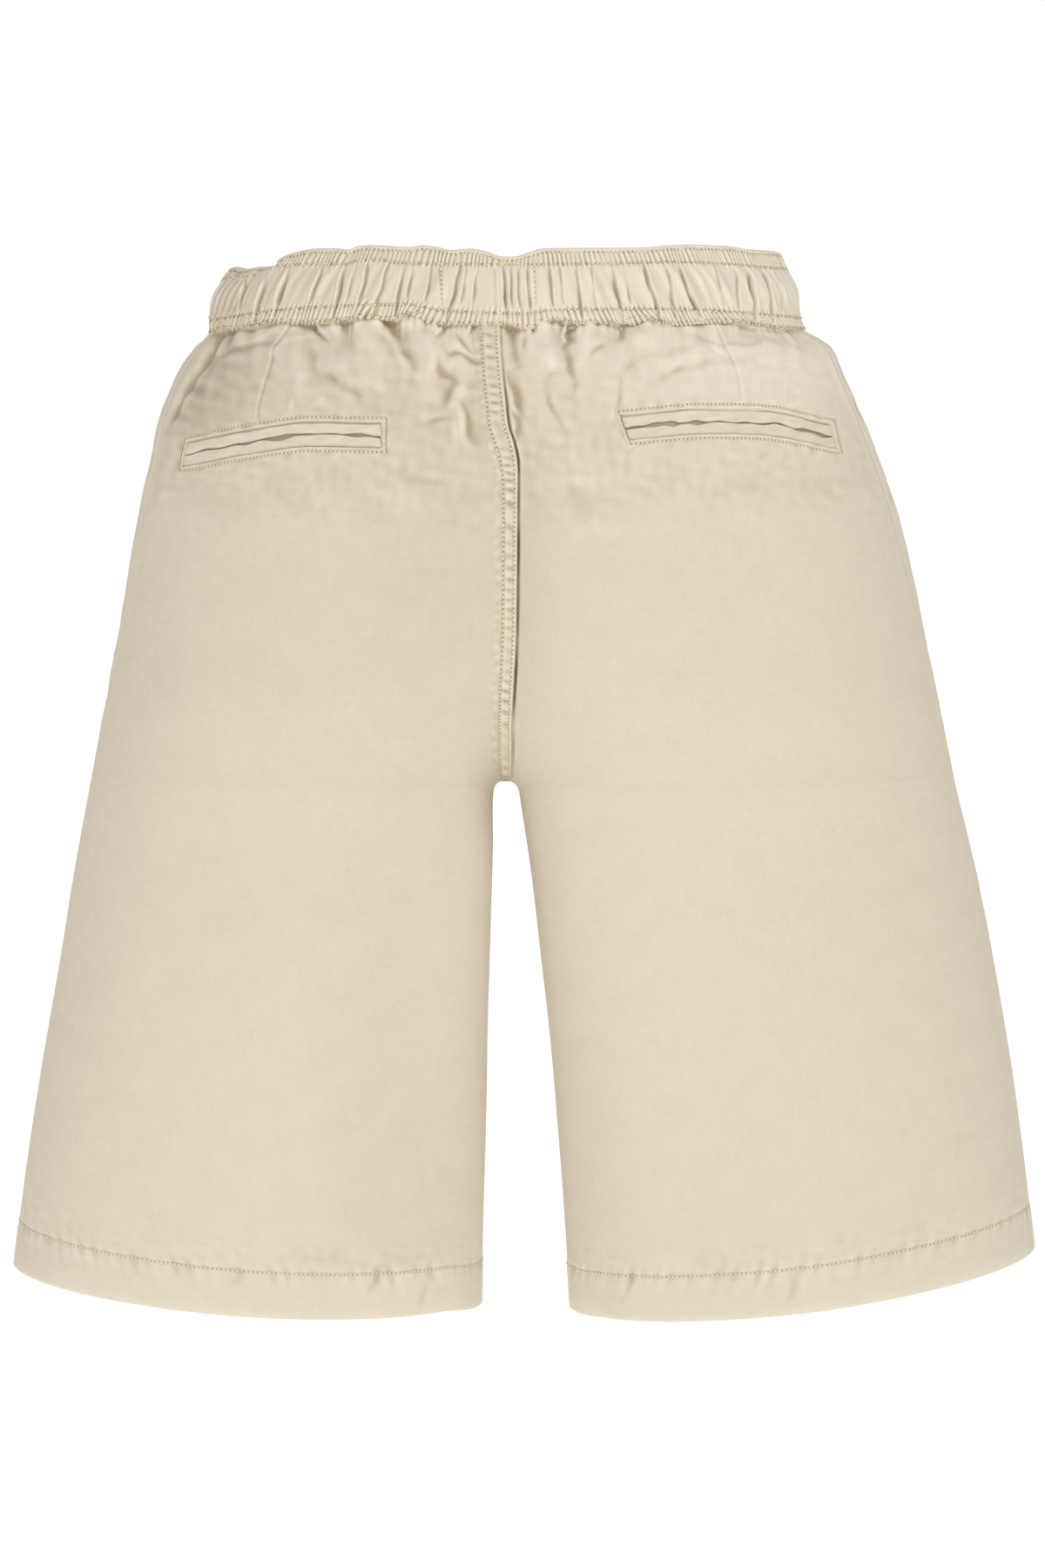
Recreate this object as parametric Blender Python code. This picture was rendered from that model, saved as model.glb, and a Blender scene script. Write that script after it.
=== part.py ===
"""Bermuda shorts with an elastic waistband, filled out as if worn and open at the waist and at both hems.

Lengths are in millimetres until a mesh is made. The origin is the middle of the waistband, +Z is up, and the
back of the shorts faces -Y. "drop" is a distance below the origin, "side" is -1 for the left leg and 1 for
the right leg as seen from behind, and "reach" is a distance out from the centre seam towards one side.
"""

import math

import bmesh
import bpy
import numpy as np

MILLIMETRE = 0.001

CLOTH = 1.5
BAND_THICKNESS = 3.0
BAND_PROUD = 1.4
HEM_THICKNESS = 2.3
HEM_PROUD = 0.4
WELT_THICKNESS = 1.2
SEAM_GAP = 0.3

BAND_TOP = -18.0
BAND_BOTTOM = 21.0
CROTCH = 256.5
HEM_BOTTOM = 538.0
HEM_DEPTH = 25.0

# Cross-sections of the whole garment, from the waistband's top edge to the hems.
# drop, half width, sideways lean of the middle, depth behind, depth in front
SECTIONS = (
    (-18.0, 145.0, -9.5, 94, 90),
    (-9.0, 149.0, -9.5, 96, 91),
    (0.0, 153.0, -9.3, 98, 93),
    (12.0, 155.3, -9.3, 100, 94),
    (21.0, 157.8, -8.0, 102, 97),
    (31.0, 169.8, -5.0, 108, 101),
    (49.0, 180.0, -6.3, 116, 106),
    (68.0, 188.0, -6.0, 123, 110),
    (86.0, 193.5, -4.5, 128, 113),
    (124.0, 204.5, -2.3, 133, 117),
    (161.0, 212.5, -0.7, 129, 120),
    (198.0, 220.0, 0.2, 115, 120),
    (255.0, 231.3, 0.2, 82, 118),
    (312.0, 243.3, 1.2, 70, 115),
    (369.0, 253.3, 2.0, 69, 107),
    (426.0, 262.8, 1.8, 70, 96),
    (484.0, 271.2, 1.2, 71, 84),
    (540.0, 278.6, 0.8, 71, 73),
)
HALF_WIDTH, LEAN, DEPTH_BACK, DEPTH_FRONT = 1, 2, 3, 4

# The centre seam wanders a little, and below the crotch the middle of the gap between the legs carries on.
# drop, x
CENTRE_LINE = (
    (-18.0, -17.0),
    (24.0, -17.5),
    (46.0, -16.2),
    (59.0, -14.8),
    (72.0, -13.3),
    (80.0, -10.8),
    (92.0, -7.8),
    (105.0, -6.8),
    (170.0, -7.3),
    (226.0, -9.3),
    (262.0, -8.8),
    (293.0, -6.6),
    (350.0, -4.0),
    (426.0, -0.9),
    (540.0, 2.0),
)

# Each half of the shorts is round an ellipse that reaches from its tip, near the centre, to the widest point.
# High up the tip lies far across the centre seam, and below the crotch it is the inseam, off the other leg.
# drop, tip as a share of the widest point's reach
LEG_TIPS = (
    (-18.0, -1.0),
    (105.0, -1.0),
    (135.0, -0.97),
    (160.0, -0.85),
    (185.0, -0.62),
    (202.0, -0.40),
    (217.5, -0.215),
    (231.0, -0.095),
    (242.5, -0.020),
    (250.5, 0.012),
    (256.5, 0.0255),
    (261.5, 0.0290),
    (266.5, 0.0315),
    (291.0, 0.0385),
    (312.0, 0.0450),
    (350.0, 0.0550),
    (388.0, 0.0650),
    (426.0, 0.0713),
    (465.0, 0.0780),
    (503.0, 0.0833),
    (540.0, 0.0870),
)

# How far each side's tip lies behind its widest point, so that the backs of the legs are flatter than a tube.
# drop, distance
TIPS_BEHIND = (
    (-18.0, 0),
    (124.0, 0),
    (161.0, 8),
    (198.0, 25),
    (230.0, 45),
    (262.0, 58),
    (312.0, 58),
    (369.0, 48),
    (426.0, 30),
    (484.0, 12),
    (540.0, 0),
)
SEAT_START = 120.0
ARCH_HEIGHT = 6.0
VALLEY = 14.0

# How far behind the widest point the side seam runs.
# drop, degrees
SIDE_SEAM = (
    (-18.0, 14.0),
    (124.0, 14.0),
    (262.0, 10.0),
    (540.0, 4.0),
)

# The hems rise towards the outside and sag in their middle, and less so higher up the leg.
HEM_TILT = {-1: math.tan(math.radians(4.2)), 1: math.tan(math.radians(7.4))}
HEM_RISE = {-1: 0.0, 1: 2.2}
HEM_SAG = 4.0

# The largest folds. Each runs from its start to its end, both as x and drop, and fades towards its end.
# face, x, drop, end x, end drop, half width, depth
FOLDS = (
    ("back", -158, 27, -184, 84, 7.5, -4.5),
    ("back", -170, 30, -192, 150, 9.0, 2.5),
    ("back", -112, 26, -74, 62, 10.0, -3.5),
    ("back", -94, 24, -88, 40, 6.5, -4.5),
    ("back", -68, 22, -56, 46, 6.5, -5.5),
    ("back", -52, 22, -50, 78, 8.0, 3.5),
    ("back", -40, 46, -41, 66, 6.0, -4.0),
    ("back", -26, 42, -20, 82, 7.5, -4.0),
    ("back", -4, 22, -2, 84, 6.5, -4.5),
    ("back", 10, 22, 14, 60, 7.5, 3.0),
    ("back", 22, 22, 25, 44, 6.5, -5.0),
    ("back", 38, 22, 44, 70, 9.0, 2.5),
    ("back", 50, 22, 40, 40, 7.0, -3.5),
    ("back", 80, 24, 66, 50, 9.0, 2.0),
    ("back", 118, 24, 148, 40, 7.0, -3.0),
    ("back", 150, 30, 172, 84, 9.0, -3.0),
    ("front", -146, 24, -150, 70, 9.0, -4.0),
    ("front", -104, 22, -88, 66, 9.0, -4.5),
    ("front", -62, 22, -58, 56, 8.0, -4.0),
    ("front", -30, 22, -24, 62, 8.0, 3.5),
    ("front", -6, 22, -4, 54, 7.5, -4.0),
    ("front", 28, 22, 20, 64, 8.0, -4.5),
    ("front", 58, 22, 66, 60, 9.0, 3.0),
    ("front", 92, 22, 80, 58, 8.0, -4.5),
    ("front", 132, 24, 140, 72, 9.0, -4.0),
)

# The folds die out over this last part of the way to the side seam, and this close below the waistband.
CALM_SIDE = 0.08
CALM_TOP = 8.0

GATHER_WAVES = 64
POINTS_PER_WAVE = 5
GATHER_DEPTH = 1.5

# The gathers run down the waistband and lean as they go.
# drop, part of the gathers' depth, slant in waves
GATHER_ROWS = (
    (BAND_TOP, 0.45, 0.0),
    (-3.0, 1.0, 0.06),
    (10.0, 1.0, 0.12),
    (BAND_BOTTOM, 0.6, 0.18),
)

# Lift of the waistband's top edge along the back, where the elastic lets it wave. It dies out in front,
# between these values of y, and down the band.
TOP_EDGE_FULL, TOP_EDGE_NONE = 12.0, 52.0
TOP_EDGE_FOOT = 3.0
# x, lift
TOP_EDGE_BACK = (
    (-160.0, -8.0),
    (-147.0, -6.0),
    (-137.0, -6.5),
    (-129.0, -9.0),
    (-117.0, -1.8),
    (-97.0, 0.2),
    (-77.0, 1.2),
    (-37.0, -0.5),
    (-18.0, -1.0),
    (-7.5, -3.5),
    (3.0, -1.5),
    (22.0, 0.4),
    (62.0, 0.3),
    (100.0, 1.2),
    (121.0, 1.4),
    (140.0, 0.0),
)

# The pocket mouths, where the two welts meet.
# x, drop
POCKET_MOUTHS = {
    -1: ((-175.5, 86.8), (-137.0, 79.8), (-107.0, 76.3), (-71.0, 76.9)),
    1: ((51.5, 73.2), (92.0, 69.8), (118.0, 70.0), (162.0, 77.6)),
}
WELT_HEIGHT = 7.2
WELT_OPENING = 0.6

LAP_HALF_WIDTH = 5.8
LAP_THICKNESS = 1.2
LONGEST_LAP = 18.0

# Points along the pieces.
PANEL_COLUMNS = {"back": 27, "front": 17}
GATHERED_ROWS, SEAT_ROWS, LEG_ROWS = 9, 7, 7
GATHERED_LENGTH = 145.0
HEM_COLUMNS = 40
WELT_COLUMNS = 15

# Colour, roughness and metallic value of each finish.
FINISHES = {
    "shell cotton": ((0.72, 0.65, 0.52), 0.86, 0.0),
    "waistband cotton": ((0.74, 0.67, 0.54), 0.84, 0.0),
    "hem cotton": ((0.71, 0.64, 0.51), 0.86, 0.0),
    "welt cotton": ((0.73, 0.66, 0.53), 0.86, 0.0),
}


def smooth(table, column, where):
    """A column's value at places in the first column, on a smooth curve that never overshoots its rows."""
    rows = np.array(table, float)
    knots, values = rows[:, 0], rows[:, column]
    where = np.clip(np.asarray(where, float), knots[0], knots[-1])
    steps = np.diff(knots)
    slopes = np.diff(values) / steps
    product = slopes[:-1] * slopes[1:]
    total = np.where(slopes[:-1] + slopes[1:] == 0, 1, slopes[:-1] + slopes[1:])
    inner = np.where(product > 0, 2 * product / total, 0)
    tangents = np.concatenate([slopes[:1], inner, slopes[-1:]])
    span = np.clip(np.searchsorted(knots, where, side="right") - 1, 0, len(steps) - 1)
    part = (where - knots[span]) / steps[span]
    return (
        values[span] * (1 + 2 * part) * (1 - part) ** 2
        + tangents[span] * steps[span] * part * (1 - part) ** 2
        + values[span + 1] * part**2 * (3 - 2 * part)
        + tangents[span + 1] * steps[span] * part**2 * (part - 1)
    )


def ease(value):
    value = np.clip(value, 0, 1)
    return value * value * (3 - 2 * value)


def cross_section(side, face, drop):
    """Sizes of one side's curve at a drop: x of the seam, reach of the widest point, and its ellipse."""
    seam = smooth(CENTRE_LINE, 1, drop)
    lean = smooth(SECTIONS, LEAN, drop)
    widest = side * (lean - seam) + smooth(SECTIONS, HALF_WIDTH, drop)
    tip = smooth(LEG_TIPS, 1, drop) * widest
    crotch_tip = smooth(LEG_TIPS, 1, CROTCH) * widest
    above = np.clip((drop - SEAT_START) / (CROTCH - SEAT_START), 0, 1)
    below = np.clip((drop - CROTCH) / ARCH_HEIGHT, 0, 1)
    return {
        "seam": seam,
        "widest": widest,
        "depth": smooth(SECTIONS, DEPTH_BACK if face == "back" else DEPTH_FRONT, drop),
        "gap": tip * np.where(drop > CROTCH, np.sqrt(1 - (1 - below) ** 2), 0),
        "inner": np.where(drop < CROTCH, crotch_tip * above, tip),
        "behind": smooth(TIPS_BEHIND, 1, drop),
        "middle": (widest + tip) / 2,
        "half": (widest - tip) / 2,
    }


def out_of_valley(sizes, reach):
    """Moves the ellipse's points near the seam towards it, so the two sides meet in a round valley."""
    blend = np.maximum(VALLEY, sizes["inner"] + 1e-6)
    part = np.clip((reach - sizes["inner"]) / (blend - sizes["inner"]), 0, 1)
    power = (blend - sizes["gap"]) / np.maximum(blend - sizes["inner"], 1e-6)
    moved = sizes["gap"] + (blend - sizes["gap"]) * part ** (1 / np.clip(power, 1, 3))
    return np.where((reach < blend) & (sizes["gap"] < sizes["inner"]), moved, reach)


def arc(sizes, start, end, sign, samples):
    """Reach and y of points on the ellipse between two angles, closer together near the start."""
    part = np.linspace(0, 1, samples)[None, :] ** 2
    angle = start[:, None] + (end - start)[:, None] * part
    column = {key: value[:, None] for key, value in sizes.items()}
    reach = column["middle"] - column["half"] * np.cos(angle)
    y = sign * column["depth"] * np.sin(angle) - column["behind"] * (1 + np.cos(angle)) / 2
    return out_of_valley(column, reach), y


def section_curve(side, face, drop, samples=260):
    """Reach and y along one panel at each drop, from the centre seam or inseam to the side seam."""
    back = cross_section(side, "back", drop)
    seam_angle = np.radians(smooth(SIDE_SEAM, 1, drop))
    sizes = back if face == "back" else cross_section(side, "front", drop)
    start = np.arccos(np.clip((sizes["middle"] - sizes["inner"]) / sizes["half"], -1, 1))
    whole = np.full_like(start, math.pi)
    if face == "back":
        return arc(sizes, start, whole - seam_angle, -1, samples)
    reach, y = arc(sizes, start, whole, 1, samples)
    round_side = arc(back, whole, whole - seam_angle, -1, samples // 4)
    return (
        np.concatenate([reach, round_side[0][:, 1:]], axis=1),
        np.concatenate([y, round_side[1][:, 1:]], axis=1),
    )


def placed(side, drop, reach, y):
    """Points in space, with the hems' tilt and sag."""
    sizes = cross_section(side, "back", drop)
    off = reach - sizes["middle"]
    sag = HEM_SAG * ((off / sizes["half"]) ** 2 - 0.5)
    lift = HEM_TILT[side] * off + HEM_RISE[side] + sag
    lift = lift * ease((drop - CROTCH) / (HEM_BOTTOM - CROTCH))
    return np.stack([sizes["seam"] + side * reach, y, lift - drop], axis=-1)


def panel_points(side, face, drop, part, trim=SEAM_GAP / 2, lap=0.0):
    """Points at the given drops and parts of the way from the inner edge to the side seam.

    With a lap, the first lap part of the way spans the width that the seam's lap covers.
    """
    drop, part = np.broadcast_arrays(np.asarray(drop, float), np.asarray(part, float))
    rows, part = drop.reshape(-1), part.reshape(-1)
    reach, y = section_curve(side, face, rows)
    lengths = np.hypot(np.diff(reach, axis=1), np.diff(y, axis=1))
    along = np.concatenate([np.zeros((len(rows), 1)), np.cumsum(lengths, axis=1)], axis=1)
    covered = np.zeros(len(rows))
    if lap:
        covered = [np.interp(r[0] + LAP_HALF_WIDTH, r[:60], a[:60]) for r, a in zip(reach, along)]
        covered = np.minimum(covered, LONGEST_LAP)
    in_lap = np.clip(part / lap, 0, 1) if lap else 0.0
    rest = along[:, -1] - 2 * trim - covered
    wanted = trim + covered * in_lap + rest * (part - lap * in_lap) / (1 - lap)
    found = [
        (np.interp(w, a, r), np.interp(w, a, v)) for w, a, r, v in zip(wanted, along, reach, y)
    ]
    found = np.array(found)
    return placed(side, rows, found[:, 0], found[:, 1]).reshape(drop.shape + (3,))


def panel_normals(side, face, drop, part, lap):
    """Outward normals, from small steps along and across the panel."""
    step, slide = 0.6, 0.004
    low = np.clip(part - slide, 0, 1)
    high = np.clip(part + slide, 0, 1)
    right = panel_points(side, face, drop, high, lap=lap)
    left = panel_points(side, face, drop, low, lap=lap)
    below = panel_points(side, face, drop + step, part, lap=lap)
    above = panel_points(side, face, drop - step, part, lap=lap)
    across, down = right - left, below - above
    normal = np.cross(across, down)
    if (side > 0) == (face == "back"):
        normal = -normal
    return normal / np.linalg.norm(normal, axis=-1, keepdims=True)


def fold_depth(face, points):
    """How far the folds move each point out of the panel."""
    x, drop = points[..., 0], -points[..., 2]
    total = np.zeros(x.shape)
    for fold_face, x0, drop0, x1, drop1, half_width, depth in FOLDS:
        if fold_face != face:
            continue
        length = math.hypot(x1 - x0, drop1 - drop0)
        along = ((x - x0) * (x1 - x0) + (drop - drop0) * (drop1 - drop0)) / length
        off = ((x - x0) * (drop1 - drop0) - (drop - drop0) * (x1 - x0)) / length
        fade = np.where(along < 0, np.exp(-((along / half_width) ** 2)), 1 - ease(along / length))
        total += depth * fade * np.exp(-((off / half_width) ** 2))
    return total * ease((drop - BAND_BOTTOM) / CALM_TOP)


def build(name, points, faces, finish):
    """One closed mesh in metres, with its finish."""
    mesh = bpy.data.meshes.new(name)
    mesh.from_pydata((np.asarray(points) * MILLIMETRE).tolist(), [], faces)
    work = bmesh.new()
    work.from_mesh(mesh)
    bmesh.ops.recalc_face_normals(work, faces=work.faces)
    if work.calc_volume(signed=True) < 0:
        bmesh.ops.reverse_faces(work, faces=work.faces)
    work.to_mesh(mesh)
    work.free()
    mesh.shade_smooth()
    mesh.set_sharp_from_angle(angle=math.radians(50))
    mesh.materials.append(material(finish))
    piece = bpy.data.objects.new(name, mesh)
    bpy.context.scene.collection.objects.link(piece)
    return piece


def material(finish):
    if finish in bpy.data.materials:
        return bpy.data.materials[finish]
    colour, roughness, metallic = FINISHES[finish]
    made = bpy.data.materials.new(finish)
    made.use_nodes = True
    shader = made.node_tree.nodes["Principled BSDF"]
    shader.inputs["Base Color"].default_value = (*colour, 1)
    shader.inputs["Roughness"].default_value = roughness
    shader.inputs["Metallic"].default_value = metallic
    made.diffuse_color = (*colour, 1)
    return made


def walled(name, outer, inner, finish, middle=0):
    """A sheet with four edges: two grids of points, joined round their rim.

    Each square is split towards the middle column as it goes down, so a piece that lies on a panel is split just
    as the panel is.
    """
    rows, columns = outer.shape[:2]
    count = rows * columns
    faces = []
    for r in range(rows - 1):
        for c in range(columns - 1):
            a, b = r * columns + c, r * columns + c + 1
            d, e = a + columns, b + columns
            halves = ((a, b, e), (a, e, d)) if c < middle else ((a, b, d), (b, e, d))
            for half in halves:
                faces.append(half)
                faces.append(tuple(count + corner for corner in reversed(half)))
    rim = list(range(columns))
    rim += [r * columns + columns - 1 for r in range(1, rows)]
    rim += [(rows - 1) * columns + c for c in range(columns - 2, -1, -1)]
    rim += [r * columns for r in range(rows - 2, 0, -1)]
    for a, b in zip(rim, rim[1:] + rim[:1]):
        faces.append((b, a, count + a, count + b))
    points = np.concatenate([outer.reshape(-1, 3), inner.reshape(-1, 3)])
    return build(name, points, faces, finish)


def ring_wall(name, loops, finish):
    """A closed band: each loop of points is joined to the next and the last to the first."""
    starts = np.cumsum([0] + [len(loop) for loop in loops])
    faces = []
    for index, loop in enumerate(loops):
        following = loops[(index + 1) % len(loops)]
        first, second = starts[index], starts[(index + 1) % len(loops)]
        faces += strip_faces(first, len(loop), second, len(following))
    return build(name, np.concatenate(loops), faces, finish)


def strip_faces(first, many, second, few):
    """Faces between two loops. Where one has fewer points, each of them takes a fan."""
    if many < few:
        return [tuple(reversed(face)) for face in strip_faces(second, few, first, many)]
    each = many // few
    faces = []
    for i in range(few):
        corner, next_corner = second + i, second + (i + 1) % few
        run = [first + (i * each + k) % many for k in range(each + 1)]
        turn = each // 2
        for k in range(each):
            if each == 1:
                faces.append((run[0], run[1], next_corner, corner))
            elif k < turn:
                faces.append((run[k], run[k + 1], corner))
            else:
                faces.append((run[k], run[k + 1], next_corner))
        if each > 1:
            faces.append((run[turn], next_corner, corner))
    return faces


def panel_drops():
    """Rows of a panel: close together in the gathers and near the crotch."""
    top, hem_line = BAND_BOTTOM + SEAM_GAP, HEM_BOTTOM - HEM_DEPTH - SEAM_GAP
    gathered = top + GATHERED_LENGTH * np.linspace(0, 1, GATHERED_ROWS) ** 1.15
    turns = np.linspace(0, math.pi / 2, SEAT_ROWS + 1)[1:]
    seat = gathered[-1] + (CROTCH - gathered[-1]) * np.sin(turns)
    arch = CROTCH + ARCH_HEIGHT * np.array([0.12, 0.42])
    legs = np.linspace(CROTCH + ARCH_HEIGHT, hem_line, LEG_ROWS + 1)
    return np.concatenate([gathered, seat, arch, legs])


def panel_grid(side, face):
    """Outer points and normals of a panel, with its folds. Its second column is where the seam's lap ends."""
    drops = panel_drops()
    columns = PANEL_COLUMNS[face]
    lap = 1 / (columns - 1)
    drop, part = np.meshgrid(drops, np.linspace(0, 1, columns), indexing="ij")
    points = panel_points(side, face, drop, part, lap=lap)
    normals = panel_normals(side, face, drop, part, lap)
    across_seam = "front" if face == "back" else "back"
    normals[:, -1] += panel_normals(side, across_seam, drops, np.ones(len(drops)), lap)
    normals /= np.linalg.norm(normals, axis=-1, keepdims=True)
    depth = fold_depth(face, points) * ease((1 - part) / CALM_SIDE)
    return points + normals * depth[..., None], normals, drops


def make_panel(side, face):
    """One of the four panels: a curved sheet from the waistband to the hem."""
    outer, normals, _ = panel_grid(side, face)
    name = f"{face}_{'left' if side < 0 else 'right'}_panel"
    return walled(name, outer, outer - normals * CLOTH, "shell cotton")


def leg_loop(side, drop, count, offset):
    """A closed loop round one leg, moved out by an offset."""
    parts = np.linspace(0, 1, count // 2 + 1)
    back = panel_points(side, "back", np.full(len(parts), drop), parts, trim=0)
    front = panel_points(side, "front", np.full(len(parts), drop), parts, trim=0)
    loop = np.concatenate([back[:-1], front[:0:-1]])
    return moved_out(loop, offset)


def moved_out(loop, offset):
    """Each point of a level loop moved away from the space inside it."""
    tangent = np.roll(loop, -1, axis=0) - np.roll(loop, 1, axis=0)
    normal = np.stack([tangent[:, 1], -tangent[:, 0], np.zeros(len(loop))], axis=1)
    normal /= np.linalg.norm(normal, axis=1, keepdims=True)
    x, y = loop[:, 0], loop[:, 1]
    if np.sum(x * np.roll(y, -1) - y * np.roll(x, -1)) < 0:
        normal = -normal
    return loop + normal * np.broadcast_to(offset, len(loop))[:, None]


def make_hem(side):
    """The turned-up hem of one leg, a closed band a little thicker than the panels above it."""
    top, bottom = HEM_BOTTOM - HEM_DEPTH, HEM_BOTTOM
    inner = HEM_PROUD - HEM_THICKNESS
    corners = ((top, inner), (top, HEM_PROUD), (bottom, HEM_PROUD), (bottom, inner))
    loops = [leg_loop(side, drop, HEM_COLUMNS, offset) for drop, offset in corners]
    return ring_wall(f"hem_{'left' if side < 0 else 'right'}", loops, "hem cotton")


def waist_loop(drop, count):
    """A closed level loop round the waist, evenly spaced, starting at the centre back."""
    parts = np.linspace(0, 1, 160)
    drops = np.full(len(parts), drop)
    quarter = {
        (side, face): panel_points(side, face, drops, parts, trim=0)
        for side in (1, -1)
        for face in ("back", "front")
    }
    loop = np.concatenate(
        [
            quarter[1, "back"][:-1],
            quarter[1, "front"][:0:-1],
            quarter[-1, "front"][:-1],
            quarter[-1, "back"][:0:-1],
        ]
    )
    closed = np.concatenate([loop, loop[:1]])
    steps = np.linalg.norm(np.diff(closed, axis=0), axis=1)
    along = np.concatenate([[0], np.cumsum(steps)])
    wanted = np.linspace(0, along[-1], count, endpoint=False)
    return np.stack([np.interp(wanted, along, closed[:, axis]) for axis in range(3)], axis=1)


def gathers(count, strength, slant):
    """Uneven waves round the waistband, each with POINTS_PER_WAVE points."""
    index = np.arange(count)
    wave = index / POINTS_PER_WAVE
    uneven = 0.72 + 0.28 * np.sin(2.4 * np.floor(wave) + 0.9 * np.sin(1.7 * np.floor(wave)))
    return strength * uneven * (np.cos(2 * math.pi * (wave + slant)) - 0.1)


def make_waistband():
    """The elastic waistband: gathered outside, plain inside."""
    count = GATHER_WAVES * POINTS_PER_WAVE
    inner = BAND_PROUD - BAND_THICKNESS
    loops = [moved_out(waist_loop(BAND_TOP, GATHER_WAVES), inner)]
    for drop, strength, slant in GATHER_ROWS:
        waves = gathers(count, GATHER_DEPTH * strength, slant)
        loops.append(moved_out(waist_loop(drop, count), BAND_PROUD + waves))
    loops.append(moved_out(waist_loop(BAND_BOTTOM, GATHER_WAVES), inner))
    for loop in loops[:3]:
        behind = ease((TOP_EDGE_NONE - loop[:, 1]) / (TOP_EDGE_NONE - TOP_EDGE_FULL))
        share = np.clip((loop[:, 2] - TOP_EDGE_FOOT) / (-BAND_TOP - TOP_EDGE_FOOT), 0, 1)
        loop[:, 2] += smooth(TOP_EDGE_BACK, 1, loop[:, 0]) * behind * share
    return ring_wall("waistband", loops, "waistband cotton")


def back_point(x, drop):
    """The back's surface at an x and a drop, folds left out."""
    x, drop = np.broadcast_arrays(np.asarray(x, float), np.asarray(drop, float))
    seam = smooth(CENTRE_LINE, 1, drop)
    y = np.zeros(x.shape)
    for side in (-1, 1):
        sizes = cross_section(side, "back", drop)
        reach = np.abs(x - seam)
        power = np.clip((VALLEY - sizes["gap"]) / np.maximum(VALLEY - sizes["inner"], 1e-6), 1, 3)
        part = np.clip((reach - sizes["gap"]) / (VALLEY - sizes["gap"]), 0, 1) ** power
        in_valley = sizes["inner"] + (VALLEY - sizes["inner"]) * part
        at = np.where(reach < VALLEY, in_valley, reach)
        inwards = (sizes["middle"] - at) / sizes["half"]
        depth = -sizes["depth"] * np.sqrt(np.clip(1 - inwards**2, 0, None)) - sizes["behind"] * (1 + inwards) / 2
        y = np.where((x - seam) * side >= 0, depth, y)
    return np.stack([x, y, -drop], axis=-1)


def on_back(x, drop):
    """Points of the back with its folds, and their outward normals."""
    step = 0.5
    along_x = back_point(x + step, drop) - back_point(x - step, drop)
    along_z = back_point(x, drop - step) - back_point(x, drop + step)
    normal = np.cross(along_x, along_z)
    normal /= np.linalg.norm(normal, axis=-1, keepdims=True)
    points = back_point(x, drop)
    return points + normal * fold_depth("back", points)[..., None], normal


def make_welt(side, place):
    """One of the two narrow welts of a back pocket, laid on its panel."""
    mouth = POCKET_MOUTHS[side]
    x = np.linspace(mouth[0][0], mouth[-1][0], WELT_COLUMNS)
    line = smooth(mouth, 1, x)
    near, far = WELT_OPENING / 2, WELT_HEIGHT
    edges = (-far, -near) if place == "upper" else (near, far)
    drop = np.stack([line + edge for edge in edges])
    points, normals = on_back(np.broadcast_to(x, drop.shape), drop)
    inner = points + normals * SEAM_GAP
    outer = inner + normals * WELT_THICKNESS
    name = f"pocket_welt_{place}_{'left' if side < 0 else 'right'}"
    return walled(name, outer, inner, "welt cotton")


def make_seam_lap():
    """The folded lap over the centre back seam, from the waistband down to the crotch."""
    left, left_normals, drops = panel_grid(-1, "back")
    right, right_normals, _ = panel_grid(1, "back")
    rows = drops <= CROTCH
    middle = (left[rows, :1] + right[rows, :1]) / 2
    middle_normals = left_normals[rows, :1] + right_normals[rows, :1]
    points = np.concatenate([left[rows, 1:2], middle, right[rows, 1:2]], axis=1)
    normals = np.concatenate([left_normals[rows, 1:2], middle_normals, right_normals[rows, 1:2]], axis=1)
    normals /= np.linalg.norm(normals, axis=-1, keepdims=True)
    points[0, :, 2] -= SEAM_GAP
    inner = points + normals * SEAM_GAP
    return walled("centre_back_lap", inner + normals * LAP_THICKNESS, inner, "shell cotton", middle=1)


def clear_scene():
    for thing in list(bpy.data.objects):
        bpy.data.objects.remove(thing, do_unlink=True)


def main():
    clear_scene()
    for side in (-1, 1):
        make_panel(side, "back")
        make_panel(side, "front")
        make_hem(side)
        make_welt(side, "upper")
        make_welt(side, "lower")
    make_seam_lap()
    make_waistband()


main()
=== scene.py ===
"""Bermuda shorts with an elastic waistband, worn by nobody, seen in a plain bright studio.

Lengths are in millimetres until a mesh is made. The origin is the middle of the waistband, +Z is up and the
back of the shorts faces -Y. "drop" is a distance below the origin, "side" is -1 for the left leg and 1 for
the right leg as seen from behind, and "reach" is a distance out from the centre seam towards one side.
"""

import math

import bpy
import numpy as np
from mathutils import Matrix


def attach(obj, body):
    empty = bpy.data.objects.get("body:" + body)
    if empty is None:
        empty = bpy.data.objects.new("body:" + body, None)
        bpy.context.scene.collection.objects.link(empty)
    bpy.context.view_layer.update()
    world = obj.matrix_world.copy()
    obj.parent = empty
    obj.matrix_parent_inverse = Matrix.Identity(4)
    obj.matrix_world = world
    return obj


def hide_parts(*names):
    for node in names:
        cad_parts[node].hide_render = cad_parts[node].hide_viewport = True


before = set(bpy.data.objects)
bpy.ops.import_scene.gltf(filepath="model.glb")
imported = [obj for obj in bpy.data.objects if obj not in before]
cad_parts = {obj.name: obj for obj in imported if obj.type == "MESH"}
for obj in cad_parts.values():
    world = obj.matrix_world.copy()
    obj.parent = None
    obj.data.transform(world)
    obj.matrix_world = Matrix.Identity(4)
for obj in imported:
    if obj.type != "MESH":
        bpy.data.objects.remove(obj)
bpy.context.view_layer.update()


# ---------------------------------------------------------------------------------------------------------
# The studio: a wide pale floor well below the hems, an even white surround, and large soft lights, the
# brightest high on the right of the lens. The camera stands two metres behind the shorts and looks a little
# down at their middle. It sees the floor and the surround as plain white.

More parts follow.
